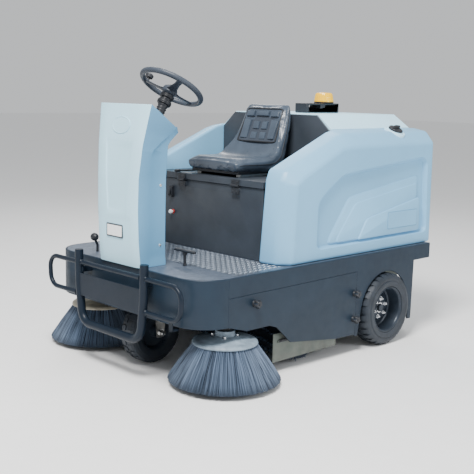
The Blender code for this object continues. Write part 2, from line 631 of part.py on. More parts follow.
def build_front_wheel(coat):
    centre = (0.0, FRONT_WHEEL_Y, FRONT_WHEEL_R)
    y = FRONT_WHEEL_Y
    fork = add_object("front_fork", box((-0.078, y - 0.038, 0.345), (0.078, y + 0.038, 0.357)),
            coat["steel"],
                      (0.0, y, 0.40))
    weld(fork, cylinder((0, y, 0.350), (0, y, 0.505), 0.025, 20))
    for side in (-1, 1):
        low, high = sorted((side * 0.068, side * 0.078))
        leg = [(y - 0.038, 0.352), (y - 0.020, 0.140), (y + 0.020, 0.140), (y + 0.038, 0.352)]
        weld(fork, prism(leg, "X", low, high))
        weld(fork, cylinder((side * 0.070, y, FRONT_WHEEL_R), (side * 0.094, y, FRONT_WHEEL_R),
                0.016, 6))
    weld(fork, cylinder((-0.075, y, FRONT_WHEEL_R), (0.075, y, FRONT_WHEEL_R), 0.010, 12))
    rim = [(0.0104, -0.055), (0.028, -0.055), (0.030, -0.020), (0.085, -0.016), (0.085, -0.042),
           (0.092, -0.044), (0.092, 0.044), (0.085, 0.042), (0.085, 0.016), (0.030, 0.020),
           (0.028, 0.055), (0.0104, 0.055)]
    add_object("front_rim", turned(rim, centre, (1, 0, 0), 32), coat["hub"], centre, smooth=True)
    half = FRONT_WHEEL_HALF
    tyre = [(0.0923, -0.042), (0.125, -half), (0.150, -half), (FRONT_WHEEL_R, -0.030),
            (FRONT_WHEEL_R, 0.030),
            (0.150, half), (0.125, half), (0.0923, 0.042)]
    add_object("front_tyre", turned(tyre, centre, (1, 0, 0), 32), coat["tyre"], centre, smooth=True)


def build_rear_wheel(side, word, coat):
    centre = (0.0, REAR_WHEEL_Y, REAR_WHEEL_R)
    origin = (side * (REAR_WHEEL_IN + REAR_WHEEL_OUT) / 2, REAR_WHEEL_Y, REAR_WHEEL_R)
    axis = (side, 0, 0)
    rim = [(0, 0.572), (0.020, 0.572), (0.024, 0.556), (0.060, 0.552), (0.066, 0.545), (0.112, 0.545),
           (0.116, 0.606), (RIM_R, 0.612), (RIM_R, 0.504), (0.112, 0.504), (0.112, 0.535),
           (0.045, 0.535), (0.045, 0.505), (0.0256, 0.505), (0.0256, 0.548), (0, 0.548)]
    item = add_object(f"rear_rim_{word}", turned(rim, centre, axis, 36), coat["rim"], origin,
            smooth=True)
    for k in range(6):
        angle = math.radians(60 * k + 30)
        y = REAR_WHEEL_Y + 0.048 * math.cos(angle)
        z = REAR_WHEEL_R + 0.048 * math.sin(angle)
        weld(item, cylinder((side * 0.550, y, z), (side * 0.566, y, z), 0.009, 6))
    tyre = [(RIM_R + GAP, 0.506), (0.160, REAR_WHEEL_IN), (0.188, REAR_WHEEL_IN + 0.004),
            (REAR_WHEEL_R, 0.512),
            (REAR_WHEEL_R, 0.604), (0.188, REAR_WHEEL_OUT - 0.004), (0.160, REAR_WHEEL_OUT),
            (RIM_R + GAP, 0.610)]
    add_object(f"rear_tyre_{word}", turned(tyre, centre, axis, 36), coat["tyre"], origin, smooth=True)
    low, high = sorted((side * 0.440, side * 0.452))
    y = REAR_WHEEL_Y
    axle = add_object(f"stub_axle_{word}", box((low, y - 0.07, 0.14), (high, y + 0.07,
            DECK_TOP - DECK_PLATE - GAP)),
                      coat["frame"])
    weld(axle, cylinder((side * 0.446, y, REAR_WHEEL_R), (side * 0.546, y, REAR_WHEEL_R), 0.025, 20))


def build_hopper(coat):
    low, high = (-0.40, 0.125, 0.095), (0.40, 0.860, 0.405)
    hopper = add_object("hopper", box(low, high), coat["housing"], (0.0, high[1], high[2]))
    cut(hopper, box((low[0] + 0.005, low[1] - 0.05, low[2] + 0.005), (high[0] - 0.005,
            high[1] - 0.005, high[2] - 0.005)))
    cut(hopper, box((low[0] + 0.05, low[1] - 0.05, high[2] - 0.02), (high[0] - 0.05,
            high[1] - 0.20, high[2] + 0.02)))
    grip = [(-0.09, high[1] - 0.003, 0.30), (-0.09, 0.947, 0.30), (0.09, 0.947, 0.30),
            (0.09, high[1] - 0.003, 0.30)]
    weld(hopper, tube(rounded(grip, 0.022, 3), 0.010, 8))
    add_object("rear_flap", box((-0.40, 0.105, 0.020), (0.40, 0.113, 0.300)), coat["rubber"])


def main():
    clear_scene()
    coat = {
        "frame": material("slate_paint", (0.07, 0.095, 0.13), 0.45),
        "deck": material("tread_plate", (0.50, 0.53, 0.57), 0.35, 0.8),
        "console": material("steel_blue", (0.21, 0.38, 0.50), 0.45),
        "pale": material("pale_blue", (0.52, 0.68, 0.74), 0.45),
        "cover": material("light_blue", (0.38, 0.57, 0.68), 0.45),
        "panel": material("dark_panel", (0.05, 0.06, 0.075), 0.5),
        "black": material("black_plastic", (0.02, 0.022, 0.026), 0.45),
        "grip": material("grip_black", (0.03, 0.035, 0.045), 0.5),
        "vinyl": material("seat_vinyl", (0.03, 0.035, 0.045), 0.4),
        "battery": material("battery_case", (0.10, 0.10, 0.11), 0.6),
        "steel": material("zinc_steel", (0.45, 0.46, 0.46), 0.35, 0.9),
        "hub": material("wheel_hub", (0.42, 0.45, 0.42), 0.4, 0.7),
        "rim": material("dark_rim", (0.06, 0.075, 0.10), 0.4),
        "tyre": material("tyre_rubber", (0.025, 0.03, 0.04), 0.8),
        "rubber": material("flap_rubber", (0.03, 0.03, 0.03), 0.85),
        "bristle": material("blue_bristle", (0.06, 0.11, 0.20), 0.7),
        "housing": material("green_grey", (0.16, 0.20, 0.17), 0.5, 0.4),
        "disc_left": material("disc_grey_blue", (0.24, 0.31, 0.38), 0.5),
        "disc_right": material("disc_beige", (0.40, 0.38, 0.30), 0.5),
        "lens": material("amber_lens", (1.0, 0.45, 0.02), 0.15),
    }
    build_chassis(coat)
    build_bumper(coat)
    build_console(coat)
    build_steering_wheel(coat)
    build_pedals(coat)
    build_seat_box(coat)
    build_seat(coat)
    build_covers(coat)
    build_rear(coat)
    build_tank_cap(coat)
    build_main_brush(coat)
    build_front_wheel(coat)
    build_hopper(coat)
    for side, word in ((1, "left"), (-1, "right")):
        build_side_brush(side, word, coat, coat[f"disc_{word}"])
        build_rear_wheel(side, word, coat)


main()
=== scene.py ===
"""Looks of the ride-on sweeper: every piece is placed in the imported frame, in metres.

+Z is up, the machine drives towards -Y and +X is the driver's left.
"""

import math
import random

import bmesh
import bpy
from mathutils import Matrix, Vector
from mathutils.bvhtree import BVHTree


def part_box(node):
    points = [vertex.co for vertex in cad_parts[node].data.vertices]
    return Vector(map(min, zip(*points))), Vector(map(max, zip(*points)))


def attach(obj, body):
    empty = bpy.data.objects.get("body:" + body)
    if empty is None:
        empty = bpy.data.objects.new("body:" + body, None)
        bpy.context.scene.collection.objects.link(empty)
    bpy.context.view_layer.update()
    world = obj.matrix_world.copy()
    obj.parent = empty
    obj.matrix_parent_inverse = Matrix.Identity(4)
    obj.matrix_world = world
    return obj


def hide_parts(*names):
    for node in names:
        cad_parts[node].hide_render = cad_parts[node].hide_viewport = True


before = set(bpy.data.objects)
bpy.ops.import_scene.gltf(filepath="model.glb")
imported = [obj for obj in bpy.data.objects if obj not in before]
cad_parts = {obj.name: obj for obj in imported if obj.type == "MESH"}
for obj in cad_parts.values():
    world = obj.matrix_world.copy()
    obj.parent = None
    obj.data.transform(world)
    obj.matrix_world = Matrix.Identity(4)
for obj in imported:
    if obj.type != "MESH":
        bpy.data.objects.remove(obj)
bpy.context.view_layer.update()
TAU = 2 * math.pi
BRUSH_X, BRUSH_Y = 0.492, -0.6355
COVER_FACE_X = 0.565
UP = Vector((0, 0, 1))
rng = random.Random(7)


# ---------------------------------------------------------------- materials

class Shader:
    """Builds a Principled material node by node."""

    def __init__(self, name):
        self.material = bpy.data.materials.new(name)
        self.material.use_nodes = True
        self.tree = self.material.node_tree
        self.shader = self.tree.nodes["Principled BSDF"]
        self.place = self.tree.nodes.new("ShaderNodeTexCoord").outputs["Object"]

    def add(self, kind, **values):
        node = self.tree.nodes.new("ShaderNode" + kind)
        for key, value in values.items():
            setattr(node, key, value)
        return node

    def link(self, output, target):
        self.tree.links.new(output, target)

    def noise(self, scale, detail=4.0, stretch=(1, 1, 1)):
        mapping = self.add("Mapping")
        mapping.inputs["Scale"].default_value = stretch
        self.link(self.place, mapping.inputs["Vector"])
        node = self.add("TexNoise")
        node.inputs["Scale"].default_value = scale
        node.inputs["Detail"].default_value = detail
        self.link(mapping.outputs["Vector"], node.inputs["Vector"])
        return node.outputs["Fac"]

    def ramp(self, source, stops):
        node = self.add("ValToRGB")
        points = node.color_ramp.elements
        while len(points) < len(stops):
            points.new(0.5)
        for point, (position, colour) in zip(points, stops):
            point.position = position
            point.color = (*colour, 1)
        self.link(source, node.inputs["Fac"])
        return node.outputs["Color"]

    def mix(self, factor, first, second):
        node = self.add("Mix", data_type="RGBA")
        self.link(factor, node.inputs[0])
        for value, socket in ((first, node.inputs[6]), (second, node.inputs[7])):
            if isinstance(value, tuple):
                socket.default_value = (*value, 1)
            else:
                self.link(value, socket)
        return node.outputs[2]

    def span(self, source, low, high, to_low, to_high):
        node = self.add("MapRange")
        for index, value in enumerate((low, high, to_low, to_high), start=1):
            node.inputs[index].default_value = value
        self.link(source, node.inputs[0])
        return node.outputs[0]

    def height(self):
        node = self.add("SeparateXYZ")
        self.link(self.place, node.inputs[0])
        return node.outputs["Z"]

    def bump(self, source, strength, distance):
        node = self.add("Bump")
        node.inputs["Strength"].default_value = strength
        node.inputs["Distance"].default_value = distance
        self.link(source, node.inputs["Height"])
        self.link(node.outputs["Normal"], self.shader.inputs["Normal"])


def shade(colour, factor):
    return tuple(min(1.0, channel * factor) for channel in colour)


def finish(name, colour, rough, metallic=0.0, tint=0.08, patch=9.0, grain=900.0, depth=0.0003,
           strength=0.12, coat=0.0, dust=0.0, stretch=(1, 1, 1), specular=0.35):
    """Painted, moulded or cast surface: cloudy tint, grain, uneven gloss and dust low down."""
    made = Shader(name)
    base = made.ramp(made.noise(patch, 5, stretch), [(0.30, shade(colour, 1 - tint)), (0.70,
            shade(colour, 1 + tint))])
    if dust:
        low = made.span(made.height(), 0.0, 0.55, dust, 0.0)
        node = made.add("Math", operation="MULTIPLY")
        made.link(low, node.inputs[0])
        made.link(made.noise(22, 6), node.inputs[1])
        base = made.mix(node.outputs[0], base, (0.33, 0.31, 0.28))
    made.link(base, made.shader.inputs["Base Color"])
    made.link(made.span(made.noise(patch * 3, 6), 0.3, 0.7, rough - 0.06, rough + 0.08),
            made.shader.inputs["Roughness"])
    made.shader.inputs["Metallic"].default_value = metallic
    made.shader.inputs["Coat Weight"].default_value = coat
    made.shader.inputs["Coat Roughness"].default_value = 0.25
    made.shader.inputs["Specular IOR Level"].default_value = specular
    made.bump(made.noise(grain, 3, stretch), strength, depth)
    return made.material


def bristle_finish(name, dark, pale, tip):
    """Nylon strands: streaks around the brush, darker towards the tips."""
    made = Shader(name)
    streak = made.ramp(made.noise(160, 2, (1, 1, 0.05)), [(0.36, dark), (0.62, pale)])
    low = made.span(made.height(), 0.0, 0.06, 0.75, 0.0)
    made.link(made.mix(low, streak, tip), made.shader.inputs["Base Color"])
    made.shader.inputs["Roughness"].default_value = 0.55
    made.bump(made.noise(500, 2, (1, 1, 0.1)), 0.2, 0.0005)
    return made.material


def fan_finish(name, dark, pale, tip):
    """Side brush strands: streaks that run outwards from each brush's own axis."""
    made = Shader(name)
    axes = made.add("SeparateXYZ")
    made.link(made.place, axes.inputs[0])

    def math_node(kind, *values):
        node = made.add("Math", operation=kind)
        for index, value in enumerate(values):
            if isinstance(value, float):
                node.inputs[index].default_value = value
            else:
                made.link(value, node.inputs[index])
        return node.outputs[0]

    across = math_node("SUBTRACT", math_node("ABSOLUTE", axes.outputs["X"]), BRUSH_X)
    along = math_node("SUBTRACT", axes.outputs["Y"], BRUSH_Y)
    join = made.add("CombineXYZ")
    made.link(math_node("MULTIPLY", math_node("ARCTAN2", along, across), 90.0), join.inputs[0])
    made.link(math_node("MULTIPLY", axes.outputs["Z"], 3.0), join.inputs[1])
    node = made.add("TexNoise")
    node.inputs["Scale"].default_value = 1.0
    node.inputs["Detail"].default_value = 3.0
    made.link(join.outputs[0], node.inputs["Vector"])
    streak = made.ramp(node.outputs["Fac"], [(0.38, dark), (0.60, pale)])
    low = made.span(made.height(), 0.020, 0.060, 0.70, 0.0)
    made.link(made.mix(low, streak, tip), made.shader.inputs["Base Color"])
    made.shader.inputs["Roughness"].default_value = 0.55
    made.bump(node.outputs["Fac"], 0.2, 0.0005)
    return made.material


def lens_finish(name, colour):
    made = Shader(name)
    tone = made.ramp(made.noise(30, 2), [(0.3, shade(colour, 0.9)), (0.7, colour)])
    made.link(tone, made.shader.inputs["Base Color"])
    made.shader.inputs["Roughness"].default_value = 0.12
    made.shader.inputs["Transmission Weight"].default_value = 0.0
    made.shader.inputs["Emission Color"].default_value = (*colour, 1)
    made.shader.inputs["Emission Strength"].default_value = 0.15
    made.bump(made.noise(60, 2, (1, 1, 0.2)), 0.15, 0.001)
    return made.material


SLATE = (0.013, 0.025, 0.042)
MAT = {
    "frame": finish("slate_powder", SLATE, 0.42, tint=0.10, grain=1400, strength=0.2, dust=0.04,
                    specular=0.22),
    "bumper": finish("bumper_powder", (0.008, 0.014, 0.024), 0.36, tint=0.08, grain=1400, strength=0.2,
                     specular=0.18),
    "deck": finish("deck_steel", (0.22, 0.26, 0.32), 0.36, 0.85, tint=0.25, patch=30, grain=300,
            strength=0.25),
    "tread": finish("tread_bars", (0.34, 0.39, 0.46), 0.34, 0.8, tint=0.2, patch=60, grain=500),
    "deck_dark": finish("deck_border", (0.11, 0.14, 0.19), 0.4, 0.5, tint=0.2, patch=30, grain=400),
    # console and pale are one blue plastic in two copies: pale is its lit copy, painted light for front faces,
    # and console is its shaded copy, painted shade for sides.
    "console": finish("console_blue", (0.125, 0.315, 0.500), 0.40, tint=0.05, patch=4),
    "pale": finish("pale_blue", (0.450, 0.720, 0.860), 0.42, tint=0.04, patch=4),
    "cover": finish("cover_blue", (0.205, 0.455, 0.680), 0.40, tint=0.05, patch=3),
    "hood": finish("hood_blue", (0.50, 0.80, 0.98), 0.40, tint=0.04, patch=3),
    "panel": finish("dark_panel", (0.036, 0.044, 0.056), 0.42, tint=0.18, patch=7, grain=1200,
            strength=0.2),
    "black": finish("black_plastic", (0.020, 0.022, 0.027), 0.42, tint=0.15, grain=1500, strength=0.25),
    "grip": finish("grip_black", (0.040, 0.050, 0.068), 0.45, tint=0.12, grain=1800, strength=0.3),
    "vinyl": finish("seat_vinyl", (0.050, 0.068, 0.095), 0.32, tint=0.15, patch=12, grain=700, depth=0.0006,
                    strength=0.35, coat=0.15),
    "seam": finish("seat_seam", (0.016, 0.018, 0.022), 0.55, tint=0.1),
    "battery": finish("battery_case", (0.09, 0.09, 0.10), 0.55),
    "steel": finish("zinc_steel", (0.50, 0.50, 0.48), 0.34, 0.95, tint=0.15, patch=20, dust=0.3),
    "chrome": finish("chrome_bolt", (0.75, 0.76, 0.78), 0.18, 1.0, tint=0.06, patch=40),
    "rim": finish("dark_rim", (0.020, 0.030, 0.045), 0.32, 0.25, tint=0.15, patch=14, dust=0.05),
    "tyre": finish("tyre_rubber", (0.016, 0.023, 0.034), 0.50, tint=0.2, patch=16, grain=400, strength=0.35,
                   depth=0.0008, dust=0.06),
    "rubber": finish("flap_rubber", (0.025, 0.026, 0.028), 0.8, tint=0.2, dust=0.5),
    "housing": finish("green_grey", (0.070, 0.090, 0.078), 0.45, 0.35, tint=0.22, patch=14, grain=600,
            dust=0.4),
    "disc_left": finish("disc_grey", (0.20, 0.26, 0.32), 0.48, tint=0.3, patch=22, grain=300, strength=0.3),
    "disc_right": finish("disc_beige", (0.42, 0.39, 0.31), 0.5, tint=0.25, patch=22, grain=300,
            strength=0.3),
    "label": finish("white_label", (0.86, 0.87, 0.88), 0.3, tint=0.02, patch=30),
    "screw": finish("bright_screw", (0.7, 0.72, 0.74), 0.2, 1.0, tint=0.05, patch=60),
    "red": finish("red_cap", (0.45, 0.04, 0.03), 0.35, tint=0.1),
    "bristle": bristle_finish("blue_bristle", (0.022, 0.036, 0.062), (0.17, 0.25, 0.37), (0.03, 0.04,
            0.065)),
    "fan": fan_finish("fan_bristle", (0.012, 0.020, 0.036), (0.15, 0.21, 0.31), (0.014, 0.020, 0.032)),
    "bristle_core": finish("bristle_core", (0.012, 0.018, 0.030), 0.9, tint=0.3, patch=60),
    "lens": lens_finish("amber_lens", (0.95, 0.52, 0.0)),
}


# ------------------------------------------------------------ mesh helpers

def make(name, mesh_data, coat, body, replaces=(), bevel=0.0, segments=2, smooth=True, subdivide=0):
    """Turns a bmesh into a named piece that rides on a body."""
    bmesh.ops.recalc_face_normals(mesh_data, faces=mesh_data.faces)
    mesh = bpy.data.meshes.new(name)
    mesh_data.to_mesh(mesh)
    mesh_data.free()
    piece = bpy.data.objects.new(name, mesh)
    bpy.context.scene.collection.objects.link(piece)
    mesh.materials.append(MAT[coat])
    if bevel:
        step = piece.modifiers.new("edges", "BEVEL")
        step.width = bevel
        step.segments = segments
        step.limit_method = "ANGLE"
        step.angle_limit = math.radians(28)
    if subdivide:
        step = piece.modifiers.new("smooth", "SUBSURF")
        step.levels = subdivide
        step.render_levels = subdivide
    if smooth:
        for face in mesh.polygons:
            face.use_smooth = True
        if not subdivide:
            mesh.set_sharp_from_angle(angle=math.radians(38))
    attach(piece, body)
    if replaces:
        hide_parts(*replaces)
    return piece


def refine(node, body, coat, bevel=0.003, segments=2):
    """Rebuilds a flat-sided CAD solid with clean faces and rounded edges."""
    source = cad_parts[node]
    data = bmesh.new()
    data.from_mesh(source.data)
    bmesh.ops.remove_doubles(data, verts=data.verts, dist=1e-5)
    bmesh.ops.dissolve_limit(data, angle_limit=math.radians(1.5), verts=data.verts, edges=data.edges)
    return make(node + "_skin", data, coat, body, (node,), bevel, segments)


def coat_node(node, coat):
    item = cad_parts[node]
    item.data.materials.clear()
    item.data.materials.append(MAT[coat])


def ring_faces(data, lower, upper):
    count = len(lower)
    for i in range(count):
        j = (i + 1) % count
        data.faces.new((lower[i], lower[j], upper[j], upper[i]))


def loft(rings, data=None, caps=True):
    data = data or bmesh.new()
    rows = [[data.verts.new(point) for point in ring] for ring in rings]
    for lower, upper in zip(rows, rows[1:]):
        ring_faces(data, lower, upper)
    if caps:
        data.faces.new(reversed(rows[0]))
        data.faces.new(rows[-1])
    return data


def slab(outline, axis, low, high, data=None):
    order = {"X": lambda p, v: (v, p[0], p[1]), "Y": lambda p, v: (p[0], v, p[1]), "Z": lambda p,
            v: (p[0], p[1], v)}
    return loft([[order[axis](point, level) for point in outline] for level in (low, high)], data)


def block(low, high, data=None):
    outline = [(low[0], low[1]), (high[0], low[1]), (high[0], high[1]), (low[0], high[1])]
    return slab(outline, "Z", low[2], high[2], data)


def turned(profile, centre, axis, segments, data=None, wobble=None):
    """Revolves (radius, height) pairs about an axis through centre."""
    data = data or bmesh.new()
    turn = UP.rotation_difference(Vector(axis)).to_matrix()
    rows = []
    for radius, height in profile:
        count = segments if radius > 1e-6 else 1
        row = []
        for k in range(count):
            angle = TAU * k / segments
            reach = radius * (wobble(angle, height) if wobble else 1)
            local = Vector((reach * math.cos(angle), reach * math.sin(angle), height))
            row.append(data.verts.new(Vector(centre) + turn @ local))
        rows.append(row)
    pairs = list(zip(rows, rows[1:]))
    if profile[0][0] > 1e-6:
        pairs.append((rows[-1], rows[0]))
    for lower, upper in pairs:
        for k in range(segments):
            j = (k + 1) % segments
            corners = [lower[k % len(lower)], lower[j % len(lower)], upper[j % len(upper)],
                    upper[k % len(upper)]]
            data.faces.new(list(dict.fromkeys(corners)))
    return data


def rod(start, end, radius, segments=20, data=None, chamfer=0.0):
    length = (Vector(end) - Vector(start)).length
    if chamfer:
        profile = [(0, 0), (radius - chamfer, 0), (radius, chamfer), (radius, length - chamfer),
                   (radius - chamfer, length), (0, length)]
    else:
        profile = [(0, 0), (radius, 0), (radius, length), (0, length)]
    return turned(profile, start, Vector(end) - Vector(start), segments, data)


def rounded(points, radius, steps=10):
    path = [Vector(points[0])]
    for before, corner, after in zip(points, points[1:], points[2:]):
        corner = Vector(corner)
        back = (Vector(before) - corner).normalized()
        ahead = (Vector(after) - corner).normalized()
        half = back.angle(ahead) / 2
        reach = radius / math.tan(half)
        centre = corner + (back + ahead).normalized() * radius / math.sin(half)
        start = corner + back * reach - centre
        end = corner + ahead * reach - centre
        path += [centre + start.slerp(end, k / steps).normalized() * radius for k in range(steps + 1)]
    path.append(Vector(points[-1]))
    return path


def tube(path, radius, segments=20, data=None, closed=False, squash=1.0):
    path = [Vector(point) for point in path]
    heading = (path[1] - path[0]).normalized()
    side = heading.orthogonal().normalized()
    rings = []
    count = len(path)
    for i, point in enumerate(path):
        before = path[(i - 1) % count] if closed else path[max(i - 1, 0)]
        after = path[(i + 1) % count] if closed else path[min(i + 1, count - 1)]
        new_heading = (after - before).normalized()
        side = heading.rotation_difference(new_heading) @ side
        heading = new_heading
        up = heading.cross(side)
        rings.append([point + radius * (side * math.cos(a) + up * math.sin(a) * squash)
                      for a in (TAU * k / segments for k in range(segments))])
    if closed:
        rings.append(rings[0])
    return loft(rings, data, caps=not closed)


def arc(centre, radius, start, end, steps):
    angles = [math.radians(start + (end - start) * k / steps) for k in range(steps + 1)]
    return [(centre[0] + radius * math.cos(a), centre[1] + radius * math.sin(a)) for a in angles]


def rounded_outline(points, radius, steps=6):
    """Rounds the corners of a closed plane outline."""
    made = []
    count = len(points)
    for i in range(count):
        corner = Vector(points[i])
        back = (Vector(points[i - 1]) - corner)
        ahead = (Vector(points[(i + 1) % count]) - corner)
        reach = min(radius, back.length * 0.45, ahead.length * 0.45)
        start = corner + back.normalized() * reach
        end = corner + ahead.normalized() * reach
        for k in range(steps + 1):
            t = k / steps
            point = start * (1 - t) ** 2 + corner * 2 * t * (1 - t) + end * t * t
            made.append((point.x, point.y))
    return made


# ---------------------------------------------------------------- chassis

def skirts():
    low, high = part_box("skirt_front")
    half, front_y, rear_y = high[0], low[1], high[1]
    radius = rear_y - front_y
    thick = 0.010

    def corner_line(inset):
        right = arc((-half + radius, front_y + radius), radius - inset, 180, 270, 20)
        left = arc((half - radius, front_y + radius), radius - inset, 270, 360, 20)
        return right + left

    inner = corner_line(thick)
    data = bmesh.new()
    levels = [(low[2], 0.002), (low[2] + 0.002, 0), (high[2] - 0.003, 0), (high[2], 0.003)]
    rings = []
    for z, inset in levels:
        rings.append([(x, y, z) for x, y in corner_line(inset)] + [(x, y, z) for x, y in reversed(inner)])
    loft(rings, data)
    make("skirt_front_skin", data, "frame", "chassis", ("skirt_front",))
    for word in ("left", "right"):
        refine(f"skirt_{word}", "chassis", "frame", 0.0025)
        refine(f"access_panel_{word}", f"access_panel_{word}", "frame", 0.002)
    refine("rear_beam", "chassis", "frame", 0.0025)


def star_knobs():
    """Black star knobs with a centre screw on each access panel."""
    for side, word in ((1, "left"), (-1, "right")):
        face = side * 0.588
        star, screws = bmesh.new(), bmesh.new()
        for y, z in ((-0.542, 0.388), (0.212, 0.325), (0.210, 0.188)):
            lobes = lambda angle, height: 1 + 0.16 * math.cos(5 * angle)
            profile = [(0, 0.010), (0.013, 0.010), (0.0185, 0.014), (0.0195, 0.026), (0.015, 0.035),
                    (0, 0.036)]
            turned(profile, (face, y, z), (side, 0, 0), 40, star, lobes)
            turned([(0, 0), (0.016, 0), (0.013, 0.011), (0, 0.011)], (face, y, z), (side, 0, 0), 24, star)
            turned([(0, 0.034), (0.006, 0.034), (0.005, 0.0385), (0, 0.039)], (face, y, z), (side, 0,
                    0), 16, screws)
        make(f"star_knobs_{word}", star, "black", f"access_panel_{word}")
        make(f"knob_screws_{word}", screws, "black", f"access_panel_{word}")


def deck():
    """Dark deck sheet, chequer bars over the driver's area and a plain border by the console."""
    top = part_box("deck_plate")[1][2]
    coat_node("deck_plate", "deck_dark")
    sheet = bmesh.new()
    corner = arc((0.415, -0.700), 0.150, 270, 360, 10)
    outline = [(-x, y) for x, y in reversed(corner)] + corner + [(0.566, -0.31), (-0.566, -0.31)]
    outline = [(x, max(y, -0.640)) for x, y in outline]
    slab(rounded_outline(outline, 0.012, 2), "Z", top - 0.0005, top + 0.0006, sheet)
    make("tread_sheet", sheet, "deck", "chassis")
    bars = bmesh.new()
    pitch = 0.0185
    for row in range(19):
        for column in range(-30, 31):
            x = column * pitch + 0.5 * pitch * (row % 2)
            y = -0.322 - row * pitch * 0.9
            beyond = max(0, -y - 0.560)
            if abs(x) > 0.556 - beyond * 0.55 or y < -0.632:
                continue
            turn = math.radians(45 if (row + column) % 2 else -45)
            along = Vector((math.cos(turn), math.sin(turn), 0))
            across = Vector((-along.y, along.x, 0))
            centre = Vector((x, y, top + 0.0006))
            ends = [bars.verts.new(centre + along * 0.0085), bars.verts.new(centre + across * 0.0026),
                    bars.verts.new(centre - along * 0.0085), bars.verts.new(centre - across * 0.0026)]
            crest = [bars.verts.new(centre + along * 0.0052 + UP * 0.0016),
                     bars.verts.new(centre - along * 0.0052 + UP * 0.0016)]
            bars.faces.new((ends[0], ends[1], crest[0]))
            bars.faces.new((ends[1], crest[1], crest[0]))
            bars.faces.new((ends[1], ends[2], crest[1]))
            bars.faces.new((ends[2], ends[3], crest[1]))
            bars.faces.new((ends[3], crest[0], crest[1]))
            bars.faces.new((ends[3], ends[0], crest[0]))
            bars.faces.new(reversed(ends))
    make("tread_bars", bars, "tread", "chassis", smooth=False)


def bumper():
    y = -0.935
    radius, bar = 0.021, 0.0115
    corners = [(-0.257, y, 0.40), (-0.232, y, 0.20), (0.232, y, 0.20), (0.257, y, 0.40)]
    path = [(-0.260, y, 0.567), (-0.257, y, 0.40)] + rounded(corners, 0.075, 12)[1:-1]
    path += [(0.257, y, 0.40), (0.260, y, 0.567)]
    data = tube(path, radius, 28)
    tube([(-0.258, y, 0.504), (0.258, y, 0.504)], bar, 18, data)
    for side in (-1, 1):
        loop = [(side * 0.258, y, 0.502), (side * 0.525, y, 0.502), (side * 0.515, y, 0.345),
                (side * 0.252, y, 0.345)]
        tube(rounded(loop, 0.062, 12), bar, 18, data)
        for z, small in ((0.504, bar), (0.502, bar), (0.345, bar)):
            for k in (-1, 1):
                foot = (side * 0.256 + k * 0.019, y, z)
                turned([(small, 0), (small + 0.004, 0.001), (small, 0.006)], foot, (k, 0, 0), 18, data)
    make("bumper_tubes", data, "bumper", "chassis", ("front_bumper",))
    plate = block((-0.243, y - 0.012, 0.337), (0.243, y - 0.008, 0.452))
    make("bumper_plate", plate, "bumper", "chassis", bevel=0.0015)
    stays = bmesh.new()
    for side in (-1, 1):
        block((side * 0.24 - 0.012, y, 0.455), (side * 0.24 + 0.012, -0.8755, 0.485), stays)
    block((0.417, -0.918, 0.290), (0.443, -0.913, 0.350), stays)
    block((0.417, -0.918, 0.285), (0.443, -0.8755, 0.290), stays)
    make("bumper_stays", stays, "bumper", "chassis", bevel=0.002)


# ---------------------------------------------------------------- console

def console_half(z):
    """Half width of the console at one height, eased between its measured levels."""
    levels = [(0.526, 0.158), (0.65, 0.156), (0.80, 0.156), (0.95, 0.158), (1.10, 0.170), (1.20,
            0.182), (1.30, 0.195)]
    return sample(levels, z)


def sample(levels, z):
    for (low, first), (high, second) in zip(levels, levels[1:]):
        if z <= high:
            t = max(z - low, 0) / (high - low)
            return first + (second - first) * t
    return levels[-1][1]


def console_front_y(z):
    return sample([(0.5265, -0.885), (0.65, -0.896), (0.80, -0.901), (0.95, -0.899), (1.10, -0.886),
            (1.20, -0.869),
                   (1.30, -0.852)], z)


